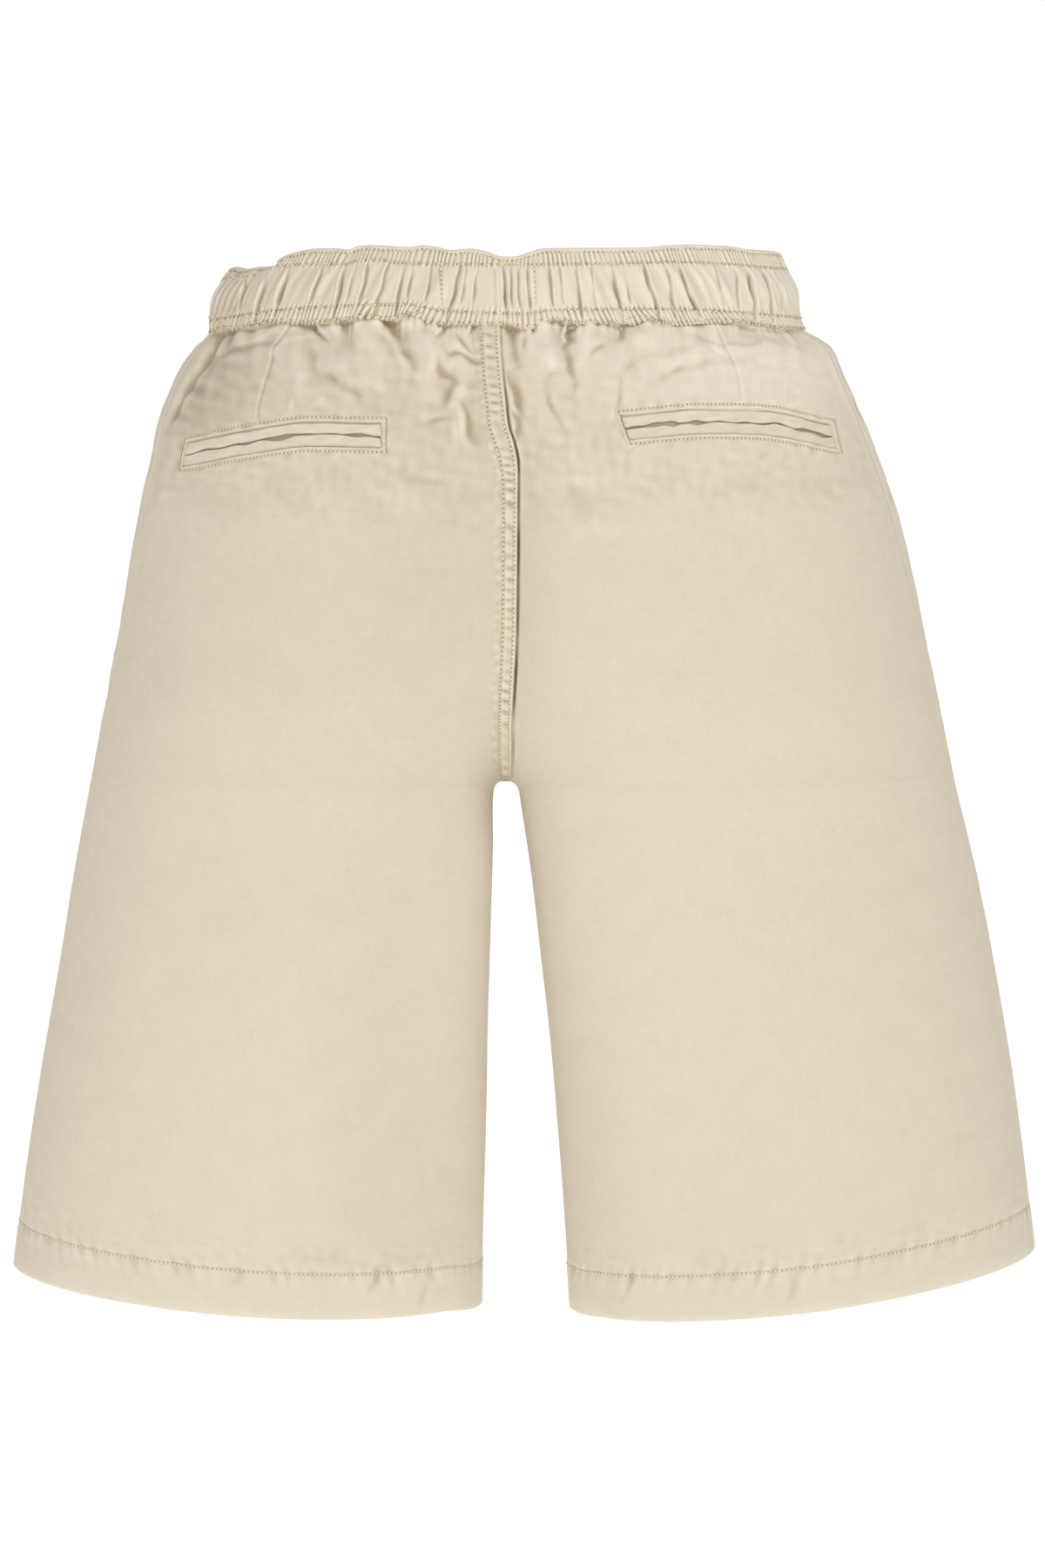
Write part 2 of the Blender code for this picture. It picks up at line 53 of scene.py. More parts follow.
FLOOR_LEVEL = -0.95
FLOOR_SIZE = 60.0
FLOOR_WHITE = 0.86
FLOOR_GLOW = 0.46
SURROUND_LIGHT = 0.545
SURROUND_SEEN = 1.05
WHITE = (1, 1, 1, 1)

CAMERA_DISTANCE = 2.0
CAMERA_PITCH = math.radians(5.4)
CAMERA_TARGET = (0.0, 0.0, -0.2644)
CAMERA_LENS = 85.1
CAMERA_SEES_TO = 200
LIGHTS_TARGET = (0, 0, -0.25)

# name, place, size, watts, colour
SOFT_LIGHTS = (
    ("high_key_softbox", (1.2, -1.5, 1.5), 0.9, 20.0, (1.0, 0.985, 0.965)),
    ("left_softbox", (-2.1, -1.2, 0.2), 1.5, 2.2, (1.0, 0.99, 0.97)),
    ("low_left_softbox", (-0.9, -2.3, -0.4), 1.0, 12.5, (1.0, 0.99, 0.975)),
    ("rear_softbox", (0.3, 2.6, 0.6), 1.8, 12.0, (1.0, 0.99, 0.98)),
)


def shown(name, data):
    """An object in the scene."""
    thing = bpy.data.objects.new(name, data)
    bpy.context.scene.collection.objects.link(thing)
    return thing


def aim(thing, place, target):
    """Puts a camera or a light at a place, looking at a target."""
    thing.location = place
    ahead = np.subtract(target, place)
    flat = math.hypot(ahead[0], ahead[1])
    thing.rotation_euler = (math.atan2(flat, -ahead[2]), 0, math.atan2(-ahead[0], ahead[1]))


def fill(tree, node, inputs):
    """Sets a node's inputs, by name or number, each to a value or to the socket that feeds it."""
    for key, value in inputs.items():
        if isinstance(value, bpy.types.NodeSocket):
            tree.links.new(value, node.inputs[key])
        else:
            node.inputs[key].default_value = value


def new_node(tree, kind, inputs=(), **settings):
    node = tree.nodes.new(kind)
    for setting, value in settings.items():
        setattr(node, setting, value)
    fill(tree, node, dict(inputs))
    return node


def new_material(name, inputs):
    """A material, its tree and its Principled shader, with some of that shader's inputs set."""
    made = bpy.data.materials.new(name)
    made.use_nodes = True
    shader = made.node_tree.nodes["Principled BSDF"]
    fill(made.node_tree, shader, inputs)
    return made, made.node_tree, shader


def split_rays(tree, lit, seen, output):
    """Sends one shader to the camera and the other to everything that the scene lights."""
    path = new_node(tree, "ShaderNodeLightPath")
    inputs = {0: path.outputs["Is Camera Ray"], 1: lit.outputs[0], 2: seen.outputs[0]}
    mix = new_node(tree, "ShaderNodeMixShader", inputs)
    tree.links.new(mix.outputs[0], output.inputs["Surface"])


camera = shown("camera", bpy.data.cameras.new("camera"))
camera.data.lens = CAMERA_LENS
camera.data.clip_end = CAMERA_SEES_TO
camera_back = CAMERA_DISTANCE * math.cos(CAMERA_PITCH)
camera_up = CAMERA_TARGET[2] + CAMERA_DISTANCE * math.sin(CAMERA_PITCH)
aim(camera, (0.0, -camera_back, camera_up), CAMERA_TARGET)
bpy.context.scene.camera = camera

for name, place, size, watts, colour in SOFT_LIGHTS:
    light = bpy.data.lights.new(name, "AREA")
    light.shape, light.size, light.energy, light.color = "DISK", size, watts, colour
    aim(shown(name, light), place, LIGHTS_TARGET)

world = bpy.data.worlds.new("surround")
world.use_nodes = True
surround = world.node_tree
surround.nodes.clear()
lit, seen = (
    new_node(surround, "ShaderNodeBackground", {"Color": WHITE, "Strength": strength})
    for strength in (SURROUND_LIGHT, SURROUND_SEEN)
)
split_rays(surround, lit, seen, new_node(surround, "ShaderNodeOutputWorld"))
bpy.context.scene.world = world
bpy.context.scene.view_settings.view_transform = "Standard"

floor_paint, paint_tree, paint = new_material(
    "floor_paint",
    {
        "Base Color": (FLOOR_WHITE, FLOOR_WHITE, FLOOR_WHITE, 1),
        "Roughness": 0.95,
        "Specular IOR Level": 0.1,
        "Emission Color": WHITE,
        "Emission Strength": FLOOR_GLOW,
    },
)
bleached = new_node(paint_tree, "ShaderNodeEmission", {"Strength": SURROUND_SEEN})
split_rays(paint_tree, paint, bleached, paint_tree.nodes["Material Output"])
floor_mesh = bpy.data.meshes.new("studio_floor")
half = FLOOR_SIZE / 2
corners = [(x * half, y * half, FLOOR_LEVEL) for x, y in ((-1, -1), (1, -1), (1, 1), (-1, 1))]
floor_mesh.from_pydata(corners, [], [(0, 1, 2, 3)])
floor_mesh.materials.append(floor_paint)
floor = shown("studio_floor", floor_mesh)


# ---------------------------------------------------------------------------------------------------------
# The four panels: plain-woven, garment-washed cotton about 0.7 mm thick, two behind and two in front. They
# are gathered into the waistband, so their top is full of short creases, and they hang nearly smooth from
# the hips down. The back ones have a dart and an opening for the pocket.

SIDES = {-1: "left", 1: "right"}
MILLIMETRE = 0.001
CLOTH = 0.7
BAND_TOP = -18.0
BAND_BOTTOM = 21.0
CROTCH = 256.5
HEM_BOTTOM = 538.0
HEM_DEPTH = 25.0
HEM_LINE = HEM_BOTTOM - HEM_DEPTH
PANEL_TOP = 13.0

# drop, half width, sideways lean of the middle, depth behind, depth in front
SECTIONS = (
    (-18, 145, -9.5, 94, 90), (-9, 149, -9.5, 96, 91), (0, 153, -9.3, 98, 93), (12, 155.3, -9.3, 100, 94),
    (21, 157.8, -8, 102, 97), (31, 169.8, -5, 108, 101), (49, 180, -6.3, 116, 106), (68, 188, -6, 123, 110),
    (86, 193.5, -4.5, 128, 113), (124, 204.5, -2.3, 133, 117), (161, 212.5, -0.7, 129, 120),
    (198, 220, 0.2, 115, 120), (255, 231.3, 0.2, 82, 118), (312, 243.3, 1.2, 70, 115), (369, 253.3, 2, 69, 107),
    (426, 262.8, 1.8, 70, 96), (484, 271.2, 1.2, 71, 84), (540, 278.6, 0.8, 71, 73),
)
HALF_WIDTH, LEAN, DEPTH_BACK, DEPTH_FRONT = 1, 2, 3, 4

# drop: x of the centre seam and, below the crotch, of the middle of the gap between the legs
CENTRE_LINE = {
    -18: -17, 24: -17.5, 46: -16.2, 59: -14.8, 72: -13.3, 80: -10.8, 92: -7.8, 105: -6.8, 170: -7.3, 226: -9.3,
    262: -8.8, 293: -6.6, 350: -4, 426: -0.9, 540: 2,
}

# drop: inner tip of each side's ellipse as a share of the widest point's reach
LEG_TIPS = {
    -18: -1, 105: -1, 135: -0.97, 160: -0.85, 185: -0.62, 202: -0.4, 217.5: -0.215, 231: -0.095, 242.5: -0.02,
    250.5: 0.012, 256.5: 0.0255, 261.5: 0.029, 266.5: 0.0315, 291: 0.0385, 312: 0.045, 350: 0.055, 388: 0.065,
    426: 0.0713, 465: 0.078, 503: 0.0833, 540: 0.087,
}
# drop: how far behind the widest point each side's inner tip lies
TIPS_BEHIND = {
    -18: 0, 124: 0, 161: 8, 198: 25, 230: 45, 262: 58, 312: 58, 369: 48, 426: 30, 484: 12, 540: 0,
}
SEAT_START = 120.0
ARCH_HEIGHT = 6.0
VALLEY = 14.0
SLIVER = 1e-6

# drop: degrees that the side seam lies behind the widest point
SIDE_SEAM = {
    -18: 14, 124: 14, 262: 10, 540: 4,
}

HEM_TILT = {-1: math.tan(math.radians(4.2)), 1: math.tan(math.radians(7.4))}
HEM_RISE = {-1: 0.0, 1: 2.2}
HEM_SAG = 4.0
HEM_CORNER = {-1: 3.2, 1: 0.8}
HEM_CORNER_FROM = 0.84


def smooth(table, where, column=1):
    """A value at places along a table, on a smooth curve that never overshoots its rows. The table is a dict
    from places to values, or rows of a place and its values."""
    rows = np.array(list(table.items()) if isinstance(table, dict) else table, float)
    knots, values = rows[:, 0], rows[:, column]
    where = np.clip(np.asarray(where, float), knots[0], knots[-1])
    steps = np.diff(knots)
    slopes = np.diff(values) / steps
    product, total = slopes[:-1] * slopes[1:], slopes[:-1] + slopes[1:]
    inner = np.where(product > 0, 2 * product / np.where(total == 0, 1, total), 0)
    tangents = np.concatenate([slopes[:1], inner, slopes[-1:]])
    span = np.clip(np.searchsorted(knots, where, side="right") - 1, 0, len(steps) - 1)
    part = (where - knots[span]) / steps[span]
    return (
        values[span] * (1 + 2 * part) * (1 - part) ** 2
        + tangents[span] * steps[span] * part * (1 - part) ** 2
        + values[span + 1] * part**2 * (3 - 2 * part)
        + tangents[span + 1] * steps[span] * part**2 * (part - 1)
    )


def ease(value):
    """From 0 at 0 to 1 at 1, level at both ends and beyond them."""
    value = np.clip(value, 0, 1)
    return value * value * (3 - 2 * value)


def bell(off, width):
    """1 where off is 0, falling away round it on both sides."""
    return np.exp(-((off / width) ** 2))


def cross_section(side, face, drop):
    """Sizes of one side's curve at a drop: x of the seam, reach of the widest point, and its ellipse."""
    seam = smooth(CENTRE_LINE, drop)
    lean = smooth(SECTIONS, drop, LEAN)
    widest = side * (lean - seam) + smooth(SECTIONS, drop, HALF_WIDTH)
    tip = smooth(LEG_TIPS, drop) * widest
    crotch_tip = smooth(LEG_TIPS, CROTCH) * widest
    above = np.clip((drop - SEAT_START) / (CROTCH - SEAT_START), 0, 1)
    below = np.clip((drop - CROTCH) / ARCH_HEIGHT, 0, 1)
    return {
        "seam": seam,
        "widest": widest,
        "depth": smooth(SECTIONS, drop, DEPTH_BACK if face == "back" else DEPTH_FRONT),
        "gap": tip * np.where(drop > CROTCH, np.sqrt(1 - (1 - below) ** 2), 0),
        "inner": np.where(drop < CROTCH, crotch_tip * above, tip),
        "behind": smooth(TIPS_BEHIND, drop),
        "middle": (widest + tip) / 2,
        "half": (widest - tip) / 2,
    }


def out_of_valley(sizes, reach):
    """Moves the ellipse's points near the seam towards it, so the two sides meet in a round valley."""
    blend = np.maximum(VALLEY, sizes["inner"] + SLIVER)
    part = np.clip((reach - sizes["inner"]) / (blend - sizes["inner"]), 0, 1)
    power = (blend - sizes["gap"]) / np.maximum(blend - sizes["inner"], SLIVER)
    moved = sizes["gap"] + (blend - sizes["gap"]) * part ** (1 / np.clip(power, 1, 3))
    return np.where((reach < blend) & (sizes["gap"] < sizes["inner"]), moved, reach)


def arc(sizes, start, end, sign, samples):
    """Reach and y of points on the ellipse between two angles, closer together near the start."""
    part = np.linspace(0, 1, samples)[None, :] ** 2
    angle = start[:, None] + (end - start)[:, None] * part
    column = {key: value[:, None] for key, value in sizes.items()}
    reach = column["middle"] - column["half"] * np.cos(angle)
    y = sign * column["depth"] * np.sin(angle) - column["behind"] * (1 + np.cos(angle)) / 2
    return out_of_valley(column, reach), y


CURVE_SAMPLES = 420


def section_curve(side, face, drop):
    """Reach and y along one panel at each drop, from the centre seam or inseam to the side seam."""
    back = cross_section(side, "back", drop)
    seam_angle = np.radians(smooth(SIDE_SEAM, drop))
    sizes = back if face == "back" else cross_section(side, "front", drop)
    start = np.arccos(np.clip((sizes["middle"] - sizes["inner"]) / sizes["half"], -1, 1))
    whole = np.full_like(start, math.pi)
    if face == "back":
        return arc(sizes, start, whole - seam_angle, -1, CURVE_SAMPLES)
    curve = arc(sizes, start, whole, 1, CURVE_SAMPLES)
    round_side = arc(back, whole, whole - seam_angle, -1, CURVE_SAMPLES // 4)
    return [np.concatenate([first, rest[:, 1:]], axis=1) for first, rest in zip(curve, round_side)]


def placed(side, drop, reach, y):
    """Points in space, with the hems' tilt and sag."""
    sizes = cross_section(side, "back", drop)
    off = reach - sizes["middle"]
    sag = HEM_SAG * ((off / sizes["half"]) ** 2 - 0.5)
    corner = HEM_CORNER[side] * ease((-off / sizes["half"] - HEM_CORNER_FROM) / (1 - HEM_CORNER_FROM))
    lift = HEM_TILT[side] * off + HEM_RISE[side] + sag - corner
    lift = lift * ease((drop - CROTCH) / (HEM_BOTTOM - CROTCH))
    return np.stack([sizes["seam"] + side * reach, y, lift - drop], axis=-1)


FORM_STEP = 0.75
FORM_COLUMNS = 400


def make_form(side, face):
    """One side of the smooth form: a fine grid of places, outward normals and lengths round from the inner
    edge, with a row for every FORM_STEP of drop."""
    drops = np.arange(BAND_TOP - 2, HEM_BOTTOM + 4, FORM_STEP)
    reach, y = section_curve(side, face, drops)
    steps = np.hypot(np.diff(reach, axis=1), np.diff(y, axis=1))
    along = np.concatenate([np.zeros((len(drops), 1)), np.cumsum(steps, axis=1)], axis=1)
    wanted = np.linspace(0, 1, FORM_COLUMNS)[None, :] * along[:, -1:]
    reach, y = (np.array([np.interp(*row) for row in zip(wanted, along, found)]) for found in (reach, y))
    places = placed(side, np.repeat(drops[:, None], FORM_COLUMNS, axis=1), reach, y)
    normals = np.cross(np.gradient(places, axis=1), np.gradient(places, axis=0))
    if (side > 0) == (face == "back"):
        normals = -normals
    normals /= np.linalg.norm(normals, axis=-1, keepdims=True)
    return {"drops": drops, "places": places, "normals": normals, "lengths": along[:, -1]}


def read_form(form, drop, part):
    """Places, normals and lengths round at any drops and parts of the way round, between the grid's own."""
    drop, part = np.broadcast_arrays(np.asarray(drop, float), np.asarray(part, float))
    row = np.clip((drop - form["drops"][0]) / FORM_STEP, 0, len(form["drops"]) - 1.001)
    column = np.clip(part, 0, 1) * (FORM_COLUMNS - 1.001)
    r, c = row.astype(int), column.astype(int)
    down, across = (row - r)[..., None], (column - c)[..., None]
    found = []
    for grid in (form["places"], form["normals"]):
        upper = grid[r, c] * (1 - across) + grid[r, c + 1] * across
        lower = grid[r + 1, c] * (1 - across) + grid[r + 1, c + 1] * across
        found.append(upper * (1 - down) + lower * down)
    found[1] /= np.linalg.norm(found[1], axis=-1, keepdims=True)
    length = np.interp(drop, form["drops"], form["lengths"])
    return found[0], found[1], part * length, length


forms = {(side, face): make_form(side, face) for side in SIDES for face in ("back", "front")}


def cloud(u, v, size, seed, waves=18):
    """A soft uneven field round 0, of about unit height, whose lumps are about the given size across."""
    chance = np.random.default_rng(seed)
    total = np.zeros(np.broadcast(u, v).shape)
    for _ in range(waves):
        angle, phase = chance.uniform(0, 2 * math.pi, 2)
        turns = 2 * math.pi / (size * chance.uniform(1.3, 2.6))
        total += np.cos(turns * (u * math.cos(angle) + v * math.sin(angle)) + phase)
    return total / math.sqrt(waves / 2)


# The largest folds, shared with the solids under the cloth.
# x, drop, end x, end drop, half width, depth
FOLDS = {
    "back": (
        (-158, 27, -184, 84, 7.5, -4.5), (-170, 30, -192, 150, 9, 2.5), (-112, 26, -74, 62, 10, -3.5),
        (-94, 24, -88, 40, 6.5, -4.5), (-68, 22, -56, 46, 6.5, -5.5), (-52, 22, -50, 78, 8, 3.5),
        (-40, 46, -41, 66, 6, -4), (-26, 42, -20, 82, 7.5, -4), (-4, 22, -2, 84, 6.5, -4.5),
        (10, 22, 14, 60, 7.5, 3), (22, 22, 25, 44, 6.5, -5), (38, 22, 44, 70, 9, 2.5),
        (50, 22, 40, 40, 7, -3.5), (80, 24, 66, 50, 9, 2), (118, 24, 148, 40, 7, -3), (150, 30, 172, 84, 9, -3),
    ),
    "front": (
        (-146, 24, -150, 70, 9, -4), (-104, 22, -88, 66, 9, -4.5), (-62, 22, -58, 56, 8, -4),
        (-30, 22, -24, 62, 8, 3.5), (-6, 22, -4, 54, 7.5, -4), (28, 22, 20, 64, 8, -4.5),
        (58, 22, 66, 60, 9, 3), (92, 22, 80, 58, 8, -4.5), (132, 24, 140, 72, 9, -4),
    ),
}
FOLD_SHARE = 0.26

# Where the waistband's lower edge crosses the back, x: drop. It rises and falls with the gathers.
BAND_FOOT = {
    -163.9: 24, -153.3: 22, -139.3: 22.6, -131.9: 20.7, -123.7: 19.2, -114.8: 20.2, -106.9: 20.7, -94.6: 19.8,
    -85.1: 19.2, -80.2: 17.6, -72.6: 17.9, -64.1: 19.6, -55.2: 15.8, -47.2: 20, -40: 21.7, -10.6: 21.9,
    1.8: 23.5, 5.3: 23.4, 8.5: 20.8, 17.7: 19.4, 24.7: 21.4, 37.1: 20.4, 49.6: 21.6, 55: 19.2, 62.1: 18.3,
    70.5: 21.2, 89.3: 20, 103.1: 19, 121.8: 21.8, 139: 22.2, 151: 22,
}

# Creases pressed or pulled into the back. Each runs through its points and is deepest at its first point, peak
# 0, or halfway, peak 0.5. A positive height is a ridge. A lip of -1 or 1 makes the cloth fold over from the
# left or the right, so that side is steep and stands up along its edge.
# peak, half width, height, lip, then the x and drop of each point
BACK_CREASES = (
    (0, 3.6, -3.8, -1, -71, 16, -69.6, 20.1, -64.5, 25.8, -59.1, 33.9, -56.2, 42.6, -54.5, 51),
    (0, 8, 2, 0, -82, 17, -76, 30, -67, 42, -62, 54),
    (0.5, 4.2, 1.7, 0, -50, 20, -48, 34, -47, 48, -48, 62),
    (0, 1, -1.8, -1, -56.5, 14.5, -57.1, 22.6),
    (0, 1.7, -3.4, -1, -43.8, 17.5, -43.4, 21.5, -41.2, 25.5),
    (0, 1.5, -3, -1, -40, 21.5, -41.4, 25, -45.6, 29.6),
    (0.5, 1.9, -2, 0, -40, 31, -37.8, 34, -32.8, 36.5, -23.5, 40.2, -18, 42.8),
    (0.5, 2.8, 1.3, 0, -38, 38.5, -30, 41.5, -21, 45.5),
    (0.5, 2.6, 1.1, 0, -36, 27.5, -30, 36, -20, 37),
    (0.5, 1.7, -1.4, 0, -33.5, 25.5, -31.7, 28.4, -27.9, 33.4, -25.5, 37),
    (0, 1.3, -1.6, -1, -25.6, 20, -25.5, 30),
    (0.5, 3, -2.3, 0, -43, 37, -41.3, 41.3, -38.1, 46.6, -35.6, 50.5, -36.8, 56, -40, 65),
    (0.5, 3.8, 1.4, 0, -30, 45, -29.5, 54, -32, 63),
    (0.5, 3.8, -2.5, -1, -31, 57, -28.9, 63.2, -26.6, 69.3, -25.2, 75.9, -23.5, 85),
    (0.5, 4.5, 1.4, 0, -38, 65, -34.5, 74, -32, 84),
    (0.5, 1.7, -1, 0, -34, 66, -46.8, 70.9, -52, 71.5),
    (0.5, 2.6, -2.4, -1, -9.3, 43, -6.2, 50.5, -3.8, 55.6, -1.9, 61.7, 0, 67),
    (0, 2.6, -2.6, 0, -5.4, 18, -5.1, 25, -4.4, 34, -1.9, 41.4, 0, 47),
    (0, 1.4, -2.8, -1, 5.9, 18.5, 5.5, 22, 4.6, 27.5),
    (0.5, 1.3, -1.2, 0, 1.5, 26, 1.8, 28.5, 2.2, 34),
    (0.5, 6.5, 2, 0, 11, 17, 12.5, 32, 15, 48),
    (0.5, 2.2, -0.9, 0, 8, 47.5, 11, 51, 14.5, 57.8, 18, 68, 26, 78),
    (0.5, 2.2, -1.7, -1, -5.2, 63, -3.5, 71, -1.6, 79),
    (0.5, 3.2, -0.6, 0, 9, 51, 15, 48.5, 21.5, 45.7, 26, 43.5),
    (0, 2, -4, -1, 24.6, 16, 24.2, 20.9, 23.1, 25.2, 24.6, 28.1, 21.3, 32.5, 20.6, 35),
    (0.5, 2.7, -2, 0, 20.8, 30, 23.5, 36.5, 24.9, 40.6, 25.2, 47.9, 24.6, 56),
    (0.5, 4.4, 1.9, 0, 30.5, 17, 31, 29, 33.5, 42),
    (0, 2.5, -2.6, 0, 50, 17, 49.9, 26, 45.4, 31, 41.5, 34.5),
    (0.5, 1.7, -1.2, 0, 41.5, 30, 39.6, 31.8, 35.9, 34.7, 33.5, 39),
    (0.5, 7, 1.5, 0, 58, 20, 63, 28, 76, 28),
    (0.5, 3, -1.6, 0, 47, 50, 52, 44.2, 56.4, 39.7, 64.5, 36.7, 73.5, 34.5, 84, 31.5, 94, 29),
    (0.5, 2.9, -1.5, 0, 64, 51, 68.8, 49.2, 80, 44, 86.8, 41, 94.4, 38.7, 106.5, 39, 112, 40),
    (0.5, 1.9, -1.2, 0, 78, 21.5, 81.3, 22.5, 90.2, 26.9, 95.3, 29.8, 106.7, 30.4, 121.5, 27.9, 126, 27),
    (0.5, 1.7, -1, 0, 88, 29.5, 90, 30.6, 98.9, 35, 106.5, 37.1, 109, 37.5),
    (0.5, 1.8, -0.9, 0, 118, 24, 121.1, 24.9, 135.7, 29.1, 141, 31),
    (0.5, 2.4, -0.8, 0, 106, 35.5, 118, 39, 131, 40),
    (0, 1.8, -1, 0, 136, 24, 144, 30.5, 154.5, 38),
    (0.5, 1.6, -0.9, 0, 51, 49, 49.7, 53.6, 46.4, 65),
    (0.5, 4, 0.8, 0, -160, 26, -171, 40, -180, 58, -186, 80),
    (0.5, 1.8, 1, 0, -148, 31.5, -137.5, 27.1, -130.1, 24.9, -119, 22),
    (0.5, 2.4, -1.3, 0, -164, 36.5, -159.1, 35.2, -146.8, 31.8, -127.1, 28.6, -122, 27.5),
    (0.5, 2.2, 0.9, 0, -131, 36.5, -129.3, 34.6, -120.9, 28.7, -113.7, 25.7, -104, 25),
    (0, 1.4, -2.6, 1, -110, 18, -107.8, 22.2, -100.6, 28.4, -97.5, 31.5),
    (0, 4.2, -3.8, -1, -91.8, 15, -91.2, 22, -90.2, 28.5, -89.6, 34),
    (0.5, 5.4, -2.7, 0, -110.5, 25, -107, 40.2, -101.4, 46.8, -91, 52.2, -80.2, 58.1, -68, 66),
    (0.5, 6.5, 1.5, 0, -98, 36, -84, 44, -68, 53),
    (0.5, 6, 1, 0, -118, 40, -110, 54, -96, 62),
    (0.5, 1.5, 0.7, 0, -115.8, 56.5, -119.9, 66.2),
    (0.5, 1.7, 0.7, 0, -110, 65.5, -99.4, 56.9),
    (0.5, 5, -1.3, 0, 150, 30, 160, 40, 170, 56, 179, 82, 185, 112),
    (0.5, 5, 1.2, 0, 160, 34, 172, 52, 184, 92, 190, 130),
    (0.5, 3.6, -1.3, 0, -188, 70, -195, 100, -201, 135, -205, 175),
    (0.5, 5, 1, 0, -180, 82, -188, 115, -193, 150),
    (0.5, 4, -0.7, 0, -62, 88, -52, 100, -38, 104),
    (0.5, 2, -0.6, 0, -40, 118, -26, 124, -14, 120),
    (0.5, 2, 0.6, 0, -84, 118, -70, 124, -52, 122),
    (0.5, 1.8, -0.6, 0, -60, 142, -44, 146, -32, 143),
    (0.5, 5, -0.9, 0, 16, 96, 30, 112, 36, 140),
    (0.5, 1.8, -0.5, 0, 30, 128, 44, 131, 58, 127),
    (0.5, 2, -0.5, 0, 60, 190, 78, 196, 98, 194),
    (0.5, 1.8, 0.5, 0, -120, 208, -104, 216, -92, 226),
    (0.5, 2, -0.5, 0, -78, 236, -66, 246, -52, 250),
    (0, 2.4, -1.7, 0, -149, 514, -152, 520, -157, 531),
    (0, 2.4, -1.5, 0, -76, 512, -78, 519, -83, 528),
    (0.5, 2.2, -1.5, 0, -50, 513, -53, 523, -56, 537),
    (0, 2.2, -1.4, 0, 58, 514, 56, 520, 51, 530),
    (0.5, 2.4, -1.2, 0, 140, 513, 142, 522, 140, 535),
)

# The fold at the left side seam, straighter and sharper than the rest, in the same columns.
SIDE_FOLD = (
    (0.5, 1.6, -5.2, 0, -150, 10, -154.4, 19, -165.4, 34.3, -174.8, 48.4, -180.5, 59, -185, 70),
    (0.5, 13, -3.4, 0, -151, 12, -164, 34, -176, 56, -187, 80),
)

# A dart runs from the waistband to each pocket, through the x and drop of each point.
DARTS = {
    -1: (-117, 16, -119.4, 21.1, -124, 28, -127.6, 32.2, -128.2, 38.8, -131.3, 49.6, -134.2, 60.3, -134.9, 69),
    1: (98, 17, 100.2, 22.9, 103.6, 31.2, 108, 38.6, 110.1, 47.5, 111.7, 60),
}

# The pockets' mouths, where the two welts meet, and the opening in the panel that shows them.
# x, drop
POCKET_MOUTHS = {
    -1: ((-175.5, 86.8), (-137.0, 79.8), (-107.0, 76.3), (-71.0, 76.9)),
    1: ((51.5, 73.2), (92.0, 69.8), (118.0, 70.0), (162.0, 77.6)),
}
# how far the opening's left and right ends lean right for each millimetre down
MOUTH_LEANS = {-1: (-0.18, 0.0), 1: (0.36, 0.20)}
WINDOW_HALF_HEIGHT = 6.4
WINDOW_DEPTH = 2.6
WINDOW_SOFTNESS = 0.5
FRAME_STITCH = 2.2

# The dip beside the lap's folded edge.
DITCH_AT = 6.7
DITCH_HALF_WIDTH = 0.65
DITCH_DEPTH = 2.6
# The shares of the heights above that all creases, wide creases and the lips of creases have.
CREASE_SHARE = 0.72
WIDE_CREASE, WIDE_SHARE = 3, 0.78
LIP_SHARE = 0.42
SIDE_WAVER = 0.08


def curved(points):
    """A smooth line through points, given as one run of numbers, with more points between them."""
    spots = np.reshape(points, (-1, 2)).astype(float)
    ends = np.concatenate([[2 * spots[0] - spots[1]], spots, [2 * spots[-1] - spots[-2]]])
    a, b, c, d = ends[:-3, None], ends[1:-2, None], ends[2:-1, None], ends[3:, None]
    t = np.array([0, 0.25, 0.5, 0.75])[None, :, None]
    run = b + 0.5 * t * (c - a + t * (2 * a - 5 * b + 4 * c - d + t * (3 * (b - c) + d - a)))
    return np.concatenate([run.reshape(-1, 2), spots[-1:]])


def near_line(spots, x, drop):
    """Distance from a line through points, positive on its right as it runs down, and how far along it from
    0 to 1."""
    lengths = np.hypot(*np.diff(spots, axis=0).T)
    total, before = lengths.sum(), 0.0
    distance, along = np.full(x.shape, 1e9), np.zeros(x.shape)
    for (x0, d0), (x1, d1), length in zip(spots[:-1], spots[1:], lengths):
        part = np.clip(((x - x0) * (x1 - x0) + (drop - d0) * (d1 - d0)) / length**2, 0, 1)
        off = np.hypot(x - x0 - part * (x1 - x0), drop - d0 - part * (d1 - d0))
        right = (x - x0) * (d1 - d0) - (drop - d0) * (x1 - x0)
        closer = off < np.abs(distance)
        distance = np.where(closer, np.where(right < 0, -off, off), distance)
        along = np.where(closer, (before + part * length) / total, along)
        before += length
    return distance, along


def fold_height(face, x, drop):
    """How far the largest folds move the cloth out."""
    total = np.zeros(x.shape)
    for x0, drop0, x1, drop1, half_width, depth in FOLDS[face]:
        length = math.hypot(x1 - x0, drop1 - drop0)
        along = ((x - x0) * (x1 - x0) + (drop - drop0) * (drop1 - drop0)) / length
        off = ((x - x0) * (drop1 - drop0) - (drop - drop0) * (x1 - x0)) / length
        fade = np.where(along < 0, bell(along, half_width), 1 - ease(along / length))
        total += FOLD_SHARE * depth * fade * bell(off, half_width)
    return total


